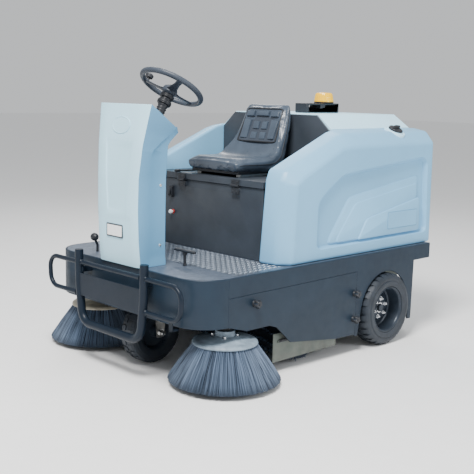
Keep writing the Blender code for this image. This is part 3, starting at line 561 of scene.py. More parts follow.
def console():
    levels = [0.5268 + (1.292 - 0.5268) * k / 40 for k in range(41)]
    data = bmesh.new()
    rings = []
    edge, chamfer = 0.020, 0.0085

    def recess(z):
        """Depth and half width of the shallow panel in the front cover."""
        if z < 0.770 or z > 1.125:
            return 0.0, 0.10
        fade = min(1.0, (z - 0.770) / 0.02, (1.125 - z) / 0.02)
        return 0.005 * fade, 0.062 + 0.034 * (z - 0.77) / 0.355

    for z in levels:
        half, y = console_half(z), console_front_y(z)
        depth, width = recess(z)
        row = [(-half, y + 0.0108), (-half, y + chamfer), (-half + edge, y), (-width - 0.006, y),
               (-width, y + depth), (width, y + depth), (width + 0.006, y), (half - edge, y),
               (half, y + chamfer), (half, y + 0.0108)]
        rings.append([(x, yy, z) for x, yy in row])
    loft(rings, data)
    # The front cover wears pale, the lit copy of the console plastic: painted light.
    make("console_front_skin", data, "pale", "chassis", ("console_front",), bevel=0.002)

    shell = bmesh.new()
    rings = []
    back = [(0.5268, -0.717), (1.095, -0.716), (1.110, -0.713), (1.155, -0.666), (1.165, -0.664)]
    for k, z in enumerate(levels):
        half, front = console_half(z), console_front_y(z) + 0.0115
        if z <= 1.16:
            rear_z, rear_y = z, sample([(a, b) for a, b in back], z)
        else:
            rear_z, rear_y = 1.160 + (z - 1.16) * 0.02, -0.6635
        crease = min(rear_y - 0.004, sample([(0.55, -0.824), (1.07, -0.822), (1.121, -0.762), (1.165,
                -0.700)], z))
        step = 0.004 if 0.56 < z < 1.15 else 0.0
        crease_z = z if z <= 1.16 else z - (z - rear_z) * (crease - front) / (rear_y - front)
        wide = console_half(rear_z)
        row = [(half, front, z), (half + 0.0005, crease, crease_z), (half + 0.0005 - step,
                crease + 0.010, crease_z),
               (wide - step, rear_y - 0.006, rear_z), (wide - step - 0.006, rear_y, rear_z)]
        rings.append([Vector(p) for p in row] + [Vector((-x, y, zz)) for x, y, zz in reversed(row)])
    loft(rings, shell)
    # The shell wears console, the shaded copy of the same plastic: painted shade on the sides.
    make("console_shell_skin", shell, "console", "chassis", ("console_shell",), bevel=0.0015)

    z = 1.193
    badge = bmesh.new()
    y, slope = console_front_y(z), (console_front_y(1.23) - console_front_y(1.15)) / 0.08
    rings = []
    for scale, lift in ((1.0, -0.001), (1.0, 0.002), (0.93, 0.003), (0.88, 0.0012), (0.86, 0.0012)):
        rings.append([(0.070 * scale * math.cos(a), y - lift + slope * 0.041 * scale * math.sin(a),
                       z + 0.041 * scale * math.sin(a)) for a in (TAU * k / 48 for k in range(48))])
    loft(rings, badge)
    # The badge wears pale as well: painted light.
    make("blank_badge", badge, "pale", "chassis")
    frame_piece, label = bmesh.new(), bmesh.new()
    front = console_front_y(0.69)
    slab(rounded_outline([(-0.078, 0.657), (0.050, 0.657), (0.050, 0.722), (-0.078, 0.722)], 0.006, 3), "Y",
         front - 0.0022, front + 0.004, frame_piece)
    slab(rounded_outline([(-0.071, 0.664), (0.043, 0.664), (0.043, 0.715), (-0.071, 0.715)], 0.004, 3), "Y",
         front - 0.0030, front, label)
    make("label_frame", frame_piece, "panel", "chassis")
    make("blank_label", label, "label", "chassis")
    screws = bmesh.new()
    for side in (-1, 1):
        for y, z in ((-0.754, 0.913), (-0.755, 0.625)):
            x = side * (console_half(z) - 0.0045)
            turned([(0, 0), (0.008, 0), (0.0065, 0.003), (0, 0.0036)], (x, y, z), (side, 0, 0), 18, screws)
    make("console_screws", screws, "screw", "chassis")
    refine("dash_panel", "chassis", "black", 0.0015)


def steering():
    centre = Vector((0, -0.563, 1.373))
    tilt = math.radians(31.5)
    axis = Vector((0, math.sin(tilt), math.cos(tilt)))
    down = Vector((0, math.cos(tilt), -math.sin(tilt)))
    across = Vector((1, 0, 0))
    point = lambda x, v, h: centre + across * x + down * v + axis * h
    grip = [point(0.156 * math.cos(a), 0.156 * math.sin(a), 0) for a in (TAU * k / 72 for k in range(72))]
    data = tube(grip, 0.0142, 20, closed=True, squash=0.92)
    for angle in (90, 205, 335):
        a = math.radians(angle)
        out = Vector((math.cos(a), math.sin(a)))
        side = Vector((-out.y, out.x))
        rings = []
        for reach, wide, thick, drop in ((0.018, 0.030, 0.006, 0.022), (0.050, 0.022, 0.005, 0.020),
                                         (0.100, 0.015, 0.0045, 0.010), (0.150, 0.017, 0.007, 0.001)):
            ring = []
            for k in range(12):
                b = TAU * k / 12
                flat = out * reach + side * wide * math.cos(b)
                ring.append(point(flat.x, flat.y, -drop + thick * math.sin(b)))
            rings.append(ring)
        loft(rings, data)
    hub = [(0, -0.044), (0.026, -0.044), (0.036, -0.034), (0.038, -0.014), (0.034, -0.006), (0.0245,
            -0.003),
           (0.0240, -0.0095), (0, -0.0095)]
    turned(hub, centre, axis, 36, data)
    make("steering_wheel_skin", data, "grip", "steering", ("steering_wheel",))
    knob = bmesh.new()
    spot = point(-0.148, -0.045, 0)
    turned([(0, 0.010), (0.008, 0.010), (0.008, 0.022), (0.019, 0.026), (0.021, 0.040), (0.014, 0.047),
            (0, 0.048)],
           spot, axis, 28, knob)
    make("spinner_knob", knob, "black", "steering")
    button = turned([(0, -0.005), (0.0225, -0.005), (0.0225, 0.001), (0.018, 0.006), (0, 0.008)],
            centre, axis, 32)
    make("horn_skin", button, "black", "horn", ("horn_button",))
    foot = centre - axis * 0.220
    sleeve = [(0, 0), (0.030, 0), (0.030, 0.010)]
    for k in range(7):
        z = 0.014 + k * 0.014
        sleeve += [(0.0255, z), (0.0225, z + 0.004), (0.0225, z + 0.009), (0.0255, z + 0.013)]
    sleeve += [(0.026, 0.118), (0.034, 0.122), (0.034, 0.142), (0.028, 0.146), (0.028, 0.152), (0.035,
            0.156),
               (0.035, 0.172), (0, 0.172)]
    column = turned(sleeve, foot, axis, 32)
    make("column_skin", column, "black", "chassis", ("column_tube",))
    collar = turned([(0.0345, 0.125), (0.0360, 0.127), (0.0360, 0.137), (0.0345, 0.139)], foot, axis, 32)
    make("column_collar", collar, "black", "chassis")


def pedals():
    data = rod((0.232, -0.665, 0.5268), (0.232, -0.665, 0.596), 0.0075, 20)
    turned([(0, 0), (0.0098, 0), (0.0096, 0.006), (0.0085, 0.010), (0, 0.010)], (0.232, -0.665,
            0.5268), UP, 24, data)
    rings = []
    for x, size in ((-0.072, 0.5), (-0.069, 1), (-0.02, 1), (0.02, 1), (0.069, 1), (0.072, 0.5)):
        rings.append([(0.232 + x, -0.665 + 0.0115 * size * math.cos(a), 0.599 + 0.0075 * size * math.sin(a))
                      for a in (TAU * k / 16 for k in range(16))])
    loft(rings, data)
    turned([(0, 0), (0.011, 0), (0.012, 0.014), (0, 0.014)], (0.232, -0.665, 0.580), UP, 20, data)
    make("brake_pedal_skin", data, "black", "brake_pedal", ("brake_pedal",))
    x, y = -0.335, -0.770
    data = tube(rounded([(x, y, 0.5268), (x, y, 0.562), (x, y - 0.020, 0.600)], 0.02, 6), 0.0065, 16)
    rings = []
    for k in range(9):
        t = k / 8
        wide = 0.021 * math.sin(math.pi * (0.06 + 0.88 * t)) ** 0.5
        rings.append([(x - 0.022 + 0.044 * t, y - 0.018 + wide * math.cos(a), 0.604 + wide * math.sin(a))
                      for a in (TAU * j / 20 for j in range(20))])
    loft(rings, data)
    make("speed_pedal_skin", data, "black", "speed_pedal", ("speed_pedal",))


# ---------------------------------------------------------------- seat box

def seat_box():
    refine("seat_box", "chassis", "panel", 0.003)
    refine("seat_lid", "lid", "panel", 0.003)
    coat_node("seat_rails", "steel")
    coat_node("battery_pack", "battery")
    front = -0.302
    leaves, lower = bmesh.new(), bmesh.new()
    pins, lower_pins = bmesh.new(), bmesh.new()
    for x in (-0.200, 0.210):
        block((x - 0.027, front - 0.0160, 0.897), (x + 0.027, front - 0.0125, 0.921), leaves)
        rod((x - 0.026, -0.319, 0.8912), (x + 0.026, -0.319, 0.8912), 0.0082, 20, leaves, 0.001)
        block((x - 0.022, front - 0.0185, 0.852), (x + 0.030, front - 0.0142, 0.882), lower)
        for dx in (-0.016, 0.016):
            turned([(0, 0), (0.0042, 0), (0.003, 0.0022), (0, 0.0026)], (x + dx, front - 0.016, 0.912),
                    (0, -1, 0), 12, pins)
            turned([(0, 0), (0.0042, 0), (0.003, 0.0022), (0, 0.0026)], (x + dx, front - 0.0185,
                    0.862), (0, -1, 0), 12,
                   lower_pins)
    make("lid_hinges", leaves, "black", "lid", bevel=0.001)
    make("box_hinges", lower, "black", "chassis", bevel=0.001)
    make("lid_hinge_screws", pins, "black", "lid")
    make("box_hinge_screws", lower_pins, "black", "chassis")
    latch = block((-0.302, front - 0.020, 0.785), (-0.276, front - 0.0005, 0.845))
    rod((-0.289, front - 0.030, 0.795), (-0.289, front - 0.018, 0.835), 0.007, 16, latch)
    make("box_latch", latch, "black", "chassis", bevel=0.003)
    knob = turned([(0, 0), (0.006, 0), (0.006, 0.010), (0.0115, 0.013), (0.0125, 0.020), (0.008,
            0.026), (0, 0.027)],
                  (-0.284, front - 0.0005, 0.705), (0, -1, 0), 24)
    make("pull_knob", knob, "label", "chassis")
    collar = turned([(0, 0), (0.013, 0), (0.012, 0.004), (0, 0.004)], (-0.284, front - 0.0005, 0.705),
            (0, -1, 0), 24)
    make("pull_knob_collar", collar, "red", "chassis")


def swell(piece, voxel, shrink, cap, frames=20):
    """Lets a padded piece swell under pressure as cloth and keeps the result, moved by no more than the cap."""
    step = piece.modifiers.new("remesh", "REMESH")
    step.mode = "VOXEL"
    step.voxel_size = voxel
    settle(piece)
    mesh = piece.data
    start = [vertex.co - vertex.normal * shrink for vertex in mesh.vertices]
    for vertex, place in zip(mesh.vertices, start):
        vertex.co = place
    cloth = piece.modifiers.new("cloth", "CLOTH")
    cloth.settings.quality = 5
    cloth.settings.use_pressure = True
    cloth.settings.uniform_pressure_force = 4.0
    cloth.settings.effector_weights.gravity = 0
    cloth.point_cache.frame_start = 1
    cloth.point_cache.frame_end = frames
    for number in range(1, frames + 1):
        bpy.context.scene.frame_set(number)
    swollen = piece.evaluated_get(bpy.context.evaluated_depsgraph_get())
    moved = [vertex.co.copy() for vertex in swollen.data.vertices]
    piece.modifiers.clear()
    for vertex, place, goal in zip(mesh.vertices, start, moved):
        shift = goal - place
        vertex.co = place + (shift if shift.length <= cap else shift.normalized() * cap)
    bpy.context.scene.frame_set(1)
    for face in mesh.polygons:
        face.use_smooth = True
    finer = piece.modifiers.new("smooth", "SUBSURF")
    finer.levels = finer.render_levels = 1


def seat_line():
    """Spine of the moulded seat: along the cushion, round the crease and up the backrest."""
    return [Vector(p) for p in ((-0.296, 1.008), (-0.276, 1.012), (-0.230, 1.013), (-0.120, 1.005),
            (-0.040, 1.000),
                                (0.005, 1.016), (0.038, 1.052), (0.064, 1.100), (0.090, 1.180), (0.110,
                                        1.250),
                                (0.124, 1.292), (0.140, 1.308))]


def smooth_line(points, count):
    """Evenly spaced points on a Catmull-Rom curve."""
    fine = []
    padded = [points[0] * 2 - points[1]] + list(points) + [points[-1] * 2 - points[-2]]
    for a, b, c, d in zip(padded, padded[1:], padded[2:], padded[3:]):
        for k in range(12):
            t = k / 12
            fine.append(0.5 * (2 * b + (c - a) * t + (2 * a - 5 * b + 4 * c - d) * t * t + (3 * b - a - 3 * c + d) * t ** 3))
    fine.append(points[-1])
    lengths = [0.0]
    for first, second in zip(fine, fine[1:]):
        lengths.append(lengths[-1] + (second - first).length)
    made = []
    for k in range(count):
        goal = lengths[-1] * k / (count - 1)
        i = max(j for j, length in enumerate(lengths) if length <= goal + 1e-9)
        if i == len(fine) - 1:
            made.append(fine[-1])
            continue
        t = (goal - lengths[i]) / (lengths[i + 1] - lengths[i])
        made.append(fine[i].lerp(fine[i + 1], t))
    return made


def seat():
    """One moulded vinyl form: crowned cushion, raised side bolsters and a curved backrest."""
    count, across = 46, 26
    line = smooth_line(seat_line(), count)
    widths = [(0, 0.194), (0.05, 0.206), (0.25, 0.214), (0.42, 0.222), (0.52, 0.216), (0.62, 0.196),
            (0.80, 0.180),
              (0.93, 0.168), (1.0, 0.150)]
    thick = [(0, 0.052), (0.05, 0.056), (0.30, 0.055), (0.48, 0.062), (0.60, 0.058), (0.85, 0.046),
            (1.0, 0.020)]
    bolster = [(0, 0.0), (0.12, 0.004), (0.30, 0.014), (0.48, 0.036), (0.60, 0.030), (0.75, 0.014),
            (0.95, 0.004), (1.0, 0)]
    rings = []
    for k, spot in enumerate(line):
        t = k / (count - 1)
        ahead = line[min(k + 1, count - 1)] - line[max(k - 1, 0)]
        ahead.normalize()
        normal = Vector((-ahead.y, ahead.x))
        half, depth, lift = sample(widths, t), sample(thick, t), sample(bolster, t)
        ring = []
        for j in range(across + 1):
            s = -1 + 2 * j / across
            edge = abs(s) ** 9
            rise = lift * abs(s) ** 2.6 - depth * 0.16 * edge
            flat = spot + normal * rise
            ring.append(Vector((half * s, flat.x, flat.y)))
        for j in range(across + 1):
            s = 1 - 2 * j / across
            edge = abs(s) ** 9
            drop = -depth + lift * 0.5 * abs(s) ** 2.6 + depth * 0.16 * edge
            flat = spot + normal * drop
            ring.append(Vector((half * s * 0.985, flat.x, flat.y)))
        rings.append(ring)
    first = rings[0]
    middle = sum(first, Vector()) / len(first)
    rings[0] = [middle.lerp(point, 0.90) + Vector((0, -0.002, 0)) for point in first]
    rings.insert(1, [middle.lerp(point, 0.985) for point in first])
    data = loft(rings)
    piece = make("seat_moulding", data, "vinyl", "seat", ("seat_cushion", "seat_back"), subdivide=1)
    swell(piece, 0.005, 0.001, 0.009)
    surface = BVHTree.FromObject(piece, bpy.context.evaluated_depsgraph_get())

    def back_point(x, along, lift):
        """Point on the backrest's face: along runs 0..1 from the panel's foot to its head."""
        height = 1.088 + 0.175 * along
        k = next(i for i in range(count // 2, count - 1) if line[i + 1].y >= height)
        part = (height - line[k].y) / (line[k + 1].y - line[k].y)
        ahead = (line[k + 1] - line[k]).normalized()
        spot, out = line[k].lerp(line[k + 1], part), Vector((0, -ahead.y, ahead.x))
        found = surface.ray_cast(Vector((x, spot.x, spot.y)) + out * 0.06, -out)[0]
        return found + out * lift

    pads = [(-0.118, -0.062, 0.780, 0.960), (-0.046, 0.046, 0.800, 0.965), (0.062, 0.118, 0.780, 0.960),
            (-0.125, -0.075, 0.080, 0.690), (0.075, 0.125, 0.080, 0.690),
            (-0.053, -0.008, 0.390, 0.640), (0.010, 0.053, 0.390, 0.640),
            (-0.056, -0.010, 0.070, 0.310), (0.010, 0.056, 0.070, 0.310)]
    data = bmesh.new()
    for left, right, foot, head in pads:
        rings = []
        for inset, lift in ((0.0, -0.003), (0.0, 0.006), (0.003, 0.0115), (0.009, 0.0130)):
            inset_v = inset / 0.19
            outline = rounded_outline([(left + inset, foot + inset_v), (right - inset, foot + inset_v),
                                       (right - inset, head - inset_v), (left + inset,
                                               head - inset_v)], 0.010, 3)
            rings.append([back_point(x, v, lift) for x, v in outline])
        loft(rings, data)
    make("back_pads", data, "vinyl", "seat")
    data = bmesh.new()
    frame_line = rounded_outline([(-0.142, 0.0), (0.142, 0.0), (0.130, 1.04), (-0.130, 1.04)], 0.030, 6)
    # Darker sheet just under the pads: painted shade in the gaps between the pads.
    gap_shade_sheet = loft([[back_point(x, v, lift) for x, v in frame_line] for lift in (-0.002, 0.0016)])
    make("pad_gap_shade", gap_shade_sheet, "grip", "seat")
    tube([back_point(x, v, 0.0018) for x, v in frame_line], 0.0042, 8, data, closed=True)
    make("back_piping", data, "seam", "seat")
    side_line = bmesh.new()
    for side in (-1, 1):
        path = []
        for k in range(2, count - 3):
            t = k / (count - 1)
            ahead = (line[k + 1] - line[k - 1]).normalized()
            normal = Vector((-ahead.y, ahead.x))
            depth, lift = sample(thick, t), sample(bolster, t)
            flat = line[k] + normal * (lift * 0.75 - depth * 0.5)
            spot = Vector((side * (sample(widths, t) + 0.03), flat.x, flat.y))
            path.append(surface.ray_cast(spot, Vector((-side, 0, 0)))[0])
        tube(path, 0.0022, 8, side_line)
    make("side_piping", side_line, "seam", "seat")
    refine("seat_pan", "seat", "black", 0.003)
    lever = tube([(-0.198, -0.120, 0.9325), (-0.210, -0.190, 0.9325), (-0.238, -0.318, 0.9325)], 0.0045, 14)
    rod((-0.2345, -0.298, 0.9325), (-0.2415, -0.330, 0.9325), 0.0075, 18, lever, 0.002)
    make("seat_lever_skin", lever, "black", "seat_lever", ("seat_lever",))


# ---------------------------------------------------------------- covers and rear

COVER_LEVELS = {
    "in": [(-0.342, 0.5266), (-0.308, 0.939), (-0.288, 0.989), (0.130, 1.164), (0.185, 1.176), (0.925,
            1.178),
           (0.945, 0.5266)],
    "mid": [(-0.324, 0.5266), (-0.292, 0.934), (-0.266, 0.984), (0.122, 1.144), (0.180, 1.160), (0.928,
            1.162),
            (0.942, 0.5266)],
    "out": [(-0.264, 0.5266), (-0.242, 0.925), (-0.183, 0.959), (0.104, 1.087), (0.166, 1.092), (0.917,
            1.100),
            (0.930, 0.5266)],
}
RECESS = [(-0.085, 0.584), (-0.080, 0.827), (-0.014, 0.881), (0.113, 0.958), (0.817, 1.024), (0.865, 0.994),
          (0.887, 0.588)]
TERRACES = [
    ([(0.020, 0.600), (0.036, 0.640), (0.184, 0.835), (0.802, 0.921), (0.810, 0.600)], 0.0160),
    ([(0.075, 0.600), (0.089, 0.640), (0.229, 0.806), (0.793, 0.882), (0.800, 0.600)], 0.0100),
    ([(0.250, 0.600), (0.266, 0.630), (0.323, 0.717), (0.814, 0.801), (0.822, 0.600)], 0.0020),
]


def inset_outline(points, amount):
    """Moves a closed outline inwards, taking each corner along its bisector."""
    made = []
    count = len(points)
    centre = sum((Vector(p) for p in points), Vector((0, 0))) / count
    for i in range(count):
        corner = Vector(points[i])
        back = (Vector(points[i - 1]) - corner).normalized()
        ahead = (Vector(points[(i + 1) % count]) - corner).normalized()
        inward = back + ahead
        if inward.length < 1e-3:
            inward = Vector((-ahead.y, ahead.x))
        inward.normalize()
        if inward.dot(centre - corner) < 0:
            inward.negate()
        made.append(tuple(corner + inward * amount))
    return made


def boolean(piece, data, name, operation="DIFFERENCE"):
    """Applies one Boolean step and drops its tool."""
    bmesh.ops.recalc_face_normals(data, faces=data.faces)
    mesh = bpy.data.meshes.new(name)
    data.to_mesh(mesh)
    data.free()
    tool = bpy.data.objects.new(name, mesh)
    bpy.context.scene.collection.objects.link(tool)
    step = piece.modifiers.new(name, "BOOLEAN")
    step.solver = "EXACT"
    step.operation = operation
    step.object = tool
    settle(piece)
    bpy.data.objects.remove(tool, do_unlink=True)


def settle(piece):
    """Bakes a piece's modifiers into its mesh."""
    graph = bpy.context.evaluated_depsgraph_get()
    baked = bpy.data.meshes.new_from_object(piece.evaluated_get(graph))
    piece.modifiers.clear()
    piece.data = baked


def cover(side, word):
    """Moulded side cover with a chamfered shoulder and a stepped recess on its outer face."""
    inner, middle, outer = COVER_LEVELS["in"], COVER_LEVELS["mid"], COVER_LEVELS["out"]
    rings = []
    for x, ring in ((0.408, inner), (0.505, middle), (COVER_FACE_X, outer)):
        rings.append([(side * x, y, z) for y, z in ring])
    piece = make(f"cover_{word}_skin", loft(rings), "cover", "chassis", (f"cover_{word}",),
            bevel=0.016, segments=4)
    settle(piece)
    face = side * COVER_FACE_X
    outside = side * 0.600
    outline = rounded_outline(RECESS, 0.045, 6)
    tight = rounded_outline(inset_outline(RECESS, 0.018), 0.036, 6)
    depth = 0.024
    rings = [[(outside, y, z) for y, z in outline], [(face + side * 0.0005, y, z) for y, z in outline],
             [(face - side * depth, y, z) for y, z in tight]]
    boolean(piece, loft(rings), "recess")
    for face_item in piece.data.polygons:
        face_item.use_smooth = True
    piece.data.set_sharp_from_angle(angle=math.radians(30))
    lower = face - side * (depth + 0.0005)
    data = bmesh.new()
    for points, drop in TERRACES:
        foot = rounded_outline(points, 0.030, 5)
        head = rounded_outline(inset_outline(points, 0.0110), 0.022, 5)
        top = face - side * drop
        loft([[(lower, y, z) for y, z in foot], [(top - side * 0.0015, y, z) for y, z in head],
              [(top, y, z) for y, z in inset_outline(head, 0.002)]], data)
    make(f"cover_terraces_{word}", data, "cover", "chassis")
    plate = slab(rounded_outline([(0.513, 0.640), (0.781, 0.640), (0.781, 0.727), (0.513, 0.727)],
            0.006, 3), "X",
                 *sorted((face - side * 0.0022, face + side * 0.0006)))
    make(f"blank_plate_{word}", plate, "cover", "chassis", bevel=0.001)
    # Thin ring sheet in the darker shaded blue around the plate: painted shadow in the gap round the plate.
    ring_shade = slab(rounded_outline([(0.509, 0.636), (0.785, 0.636), (0.785, 0.731), (0.509, 0.731)],
            0.007, 3), "X",
                  *sorted((face - side * 0.0018, face - side * 0.0010)))
    make(f"plate_shadow_ring_{word}", ring_shade, "console", "chassis")


def filler():
    normal = Vector((0.40, 0.0, 0.917)).normalized()
    foot = Vector((0.478, 0.645, 1.150))
    boss = turned([(0, -0.004), (0.060, -0.018), (0.0605, 0.012), (0.0575, 0.0175), (0.052, 0.0185),
            (0.049, 0.0165),
                   (0.046, 0.022), (0, 0.022)], foot, normal, 48)
    # Paler hood blue on the boss: painted highlight standing in for its lit rim.
    make("filler_boss", boss, "hood", "chassis")
    ribs = lambda angle, height: 1 + (0.02 * math.cos(18 * angle) if 0.004 < height < 0.010 else 0)
    base = foot + normal * 0.0225
    cap = turned([(0, 0), (0.040, 0), (0.0405, 0.005), (0.0395, 0.009), (0.036, 0.0115), (0, 0.012)],
            base, normal, 72,
                 wobble=ribs)
    along = Vector((0, 1, 0))
    across = normal.cross(along)
    rings = []
    for level, scale in ((0.008, 1.0), (0.022, 0.96), (0.027, 0.80)):
        ring = []
        for a in (TAU * k / 24 for k in range(24)):
            wide = 0.0095 * (1 - 0.35 * math.cos(a) ** 2)
            ring.append(base + normal * level + along * 0.034 * scale * math.cos(a) + across * wide * scale * math.sin(a))
        rings.append(ring)
    loft(rings, cap)
    make("tank_cap_skin", cap, "black", "tank_cap", ("tank_cap",))
    tether = turned([(0, 0), (0.005, 0), (0.004, 0.004), (0, 0.005)],
            foot + along * -0.075 + normal * 0.004, normal, 16)
    make("cap_tether_pin", tether, "label", "chassis")


def rear():
    refine("bulkhead", "chassis", "panel", 0.002)
    refine("rear_panel", "chassis", "panel", 0.002)
    refine("filter_box", "chassis", "panel", 0.006)
    refine("rear_hood", "hood", "hood", 0.010, 4)
    refine("beacon_bracket", "hood", "black", 0.005, 3)
    low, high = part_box("beacon_lens")
    x, y = (low[0] + high[0]) / 2, (low[1] + high[1]) / 2
    base_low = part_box("beacon_base")[0]
    base = turned([(0, 0), (0.056, 0), (0.058, 0.002), (0.058, 0.006), (0.055, 0.008), (0, 0.008)],
                  (x, y, base_low[2]), UP, 48)
    make("beacon_base_skin", base, "black", "hood", ("beacon_base",))
    facets = lambda angle, height: 1 + (0.012 * math.cos(24 * angle) if 0.006 < height < 0.045 else 0)
    lens = turned([(0, 0), (0.057, 0), (0.057, 0.006), (0.0555, 0.010), (0.0535, 0.020), (0.0515, 0.032),
                   (0.0495, 0.042), (0.0455, 0.049), (0.035, 0.0525), (0, 0.054)], (x, y, low[2]), UP,
                   144, wobble=facets)
    make("beacon_lens_skin", lens, "lens", "hood", ("beacon_lens",))
    lamp = turned([(0, 0.002), (0.016, 0.002), (0.016, 0.030), (0.010, 0.036), (0, 0.037)], (x, y,
            low[2]), UP, 24)
    make("beacon_lamp", lamp, "chrome", "hood")
    ribs, handles = bmesh.new(), bmesh.new()
    for k in range(9):
        z = 0.62 + k * 0.018
        block((-0.20, 0.8795, z), (0.20, 0.8835, z + 0.009), ribs)
    make("rear_louvres", ribs, "black", "chassis", bevel=0.0015)
    for side in (-1, 1):
        rod((side * 0.33, 0.8795, 0.98), (side * 0.33, 0.8875, 0.98), 0.022, 28, handles, 0.002)
        block((side * 0.33 - 0.005, 0.887, 0.962), (side * 0.33 + 0.005, 0.892, 0.998), handles)
    make("rear_locks", handles, "black", "chassis", bevel=0.001)
    refine("hopper", "hopper", "housing", 0.004)
    catches = bmesh.new()
    for side in (-1, 1):
        block((side * 0.28 - 0.02, 0.8605, 0.335), (side * 0.28 + 0.02, 0.8665, 0.385), catches)
        rod((side * 0.28 - 0.016, 0.870, 0.345), (side * 0.28 + 0.016, 0.870, 0.345), 0.0055, 14, catches)
    make("hopper_catches", catches, "steel", "hopper", bevel=0.0015)
    coat_node("rear_flap", "rubber")
    rollers = bmesh.new()
    for side in (-1, 1):
        turned([(0.006, 0), (0.026, 0), (0.028, 0.004), (0.028, 0.022), (0.026, 0.026), (0.006, 0.026)],
               (side * 0.500, 0.800, 0.170), (side, 0, 0), 28, rollers)
        block((side * 0.500 - 0.004, 0.775, 0.150), (side * 0.500 + 0.0, 0.825, 0.4400), rollers)
    make("side_rollers", rollers, "housing", "chassis", bevel=0.001)


# ---------------------------------------------------------------- brushes

def strands(name, body, centre, rows, top_z, tip_z, coat, nodes):
    """Tufted side brush: rows of nylon strands that fan out from the disc to the floor."""
    data = bmesh.new()
    for top_r, tip_r, count in rows:
        for k in range(count):
            angle = TAU * (k + rng.random() * 0.6) / count
            tuft = TAU * round(angle / TAU * 64) / 64
            start_angle = angle * 0.65 + tuft * 0.35
            tip_angle = angle + rng.uniform(-0.02, 0.02)
            start = Vector((math.cos(start_angle) * top_r, math.sin(start_angle) * top_r, top_z))
            reach = tip_r + rng.uniform(-0.006, 0.003)
            tip = Vector((math.cos(tip_angle) * reach, math.sin(tip_angle) * reach,
                    tip_z + rng.uniform(0, 0.006)))
            middle = start.lerp(tip, 0.55) + Vector((0, 0, 0.004))
            rings = []
            for spot, wide in ((start, 0.0013), (middle, 0.0012), (tip, 0.0010)):
                out = Vector((math.cos(tip_angle), math.sin(tip_angle), 0.4)) * wide
                side = Vector((-math.sin(tip_angle), math.cos(tip_angle), 0)) * wide
                rings.append([centre + spot + out, centre + spot - out * 0.5 + side,
                        centre + spot - out * 0.5 - side])
            loft(rings, data, caps=False)
    make(name, data, coat, body, nodes, smooth=False)


def side_brush(side, word):
    centre = Vector((side * BRUSH_X, BRUSH_Y, 0))
    body = f"side_brush_{word}"
    core = turned([(0.100, 0.1955), (0.140, 0.1955), (0.246, 0.036), (0.190, 0.030)], centre, UP, 64)
    make(f"bristle_core_{word}", core, "bristle_core", body)
    rows = [(0.149, 0.266, 1500), (0.144, 0.260, 1100), (0.136, 0.250, 600)]
    strands(f"bristle_fan_{word}", body, centre, rows, 0.1965, 0.023, "fan", (f"bristles_{word}",))
    disc = [(0, 0.1965), (0.146, 0.1965), (0.153, 0.1975), (0.1565, 0.202), (0.1545, 0.208), (0.147,
            0.2135),
            (0.135, 0.217), (0.120, 0.2175), (0.116, 0.2205), (0.070, 0.228), (0.064, 0.2325), (0.048,
                    0.2335),
            (0.046, 0.2595), (0, 0.2595)]
    make(f"brush_disc_{word}_skin", turned(disc, centre, UP, 72), f"disc_{word}", body,
            (f"brush_disc_{word}",))
    bolts = bmesh.new()
    for k in range(4):
        angle = TAU * (k + 0.5) / 4
        spot = centre + Vector((0.057 * math.cos(angle), 0.057 * math.sin(angle), 0.231))
        turned([(0, 0), (0.0105, 0), (0.0105, 0.002), (0, 0.002)], spot, UP, 20, bolts)
        turned([(0, 0.002), (0.0075, 0.002), (0.0075, 0.009), (0.006, 0.010), (0, 0.010)], spot, UP, 6,
                bolts)
    make(f"disc_bolts_{word}", bolts, "chrome", body, smooth=False)
    arm = f"brush_arm_{word}"
    refine(arm, arm, "black", 0.0015)
    extras = bmesh.new()
    x = centre.x
    for k in range(3):
        angle = TAU * k / 3
        rod((x + 0.04 * math.cos(angle), centre.y + 0.04 * math.sin(angle), 0.3405),
            (x + 0.04 * math.cos(angle), centre.y + 0.04 * math.sin(angle), 0.347), 0.006, 6, extras)
    rod((x - 0.03, centre.y + 0.03, 0.297), (x - 0.03, centre.y + 0.12, 0.322), 0.005, 12, extras)
    make(f"arm_fittings_{word}", extras, "steel", arm)


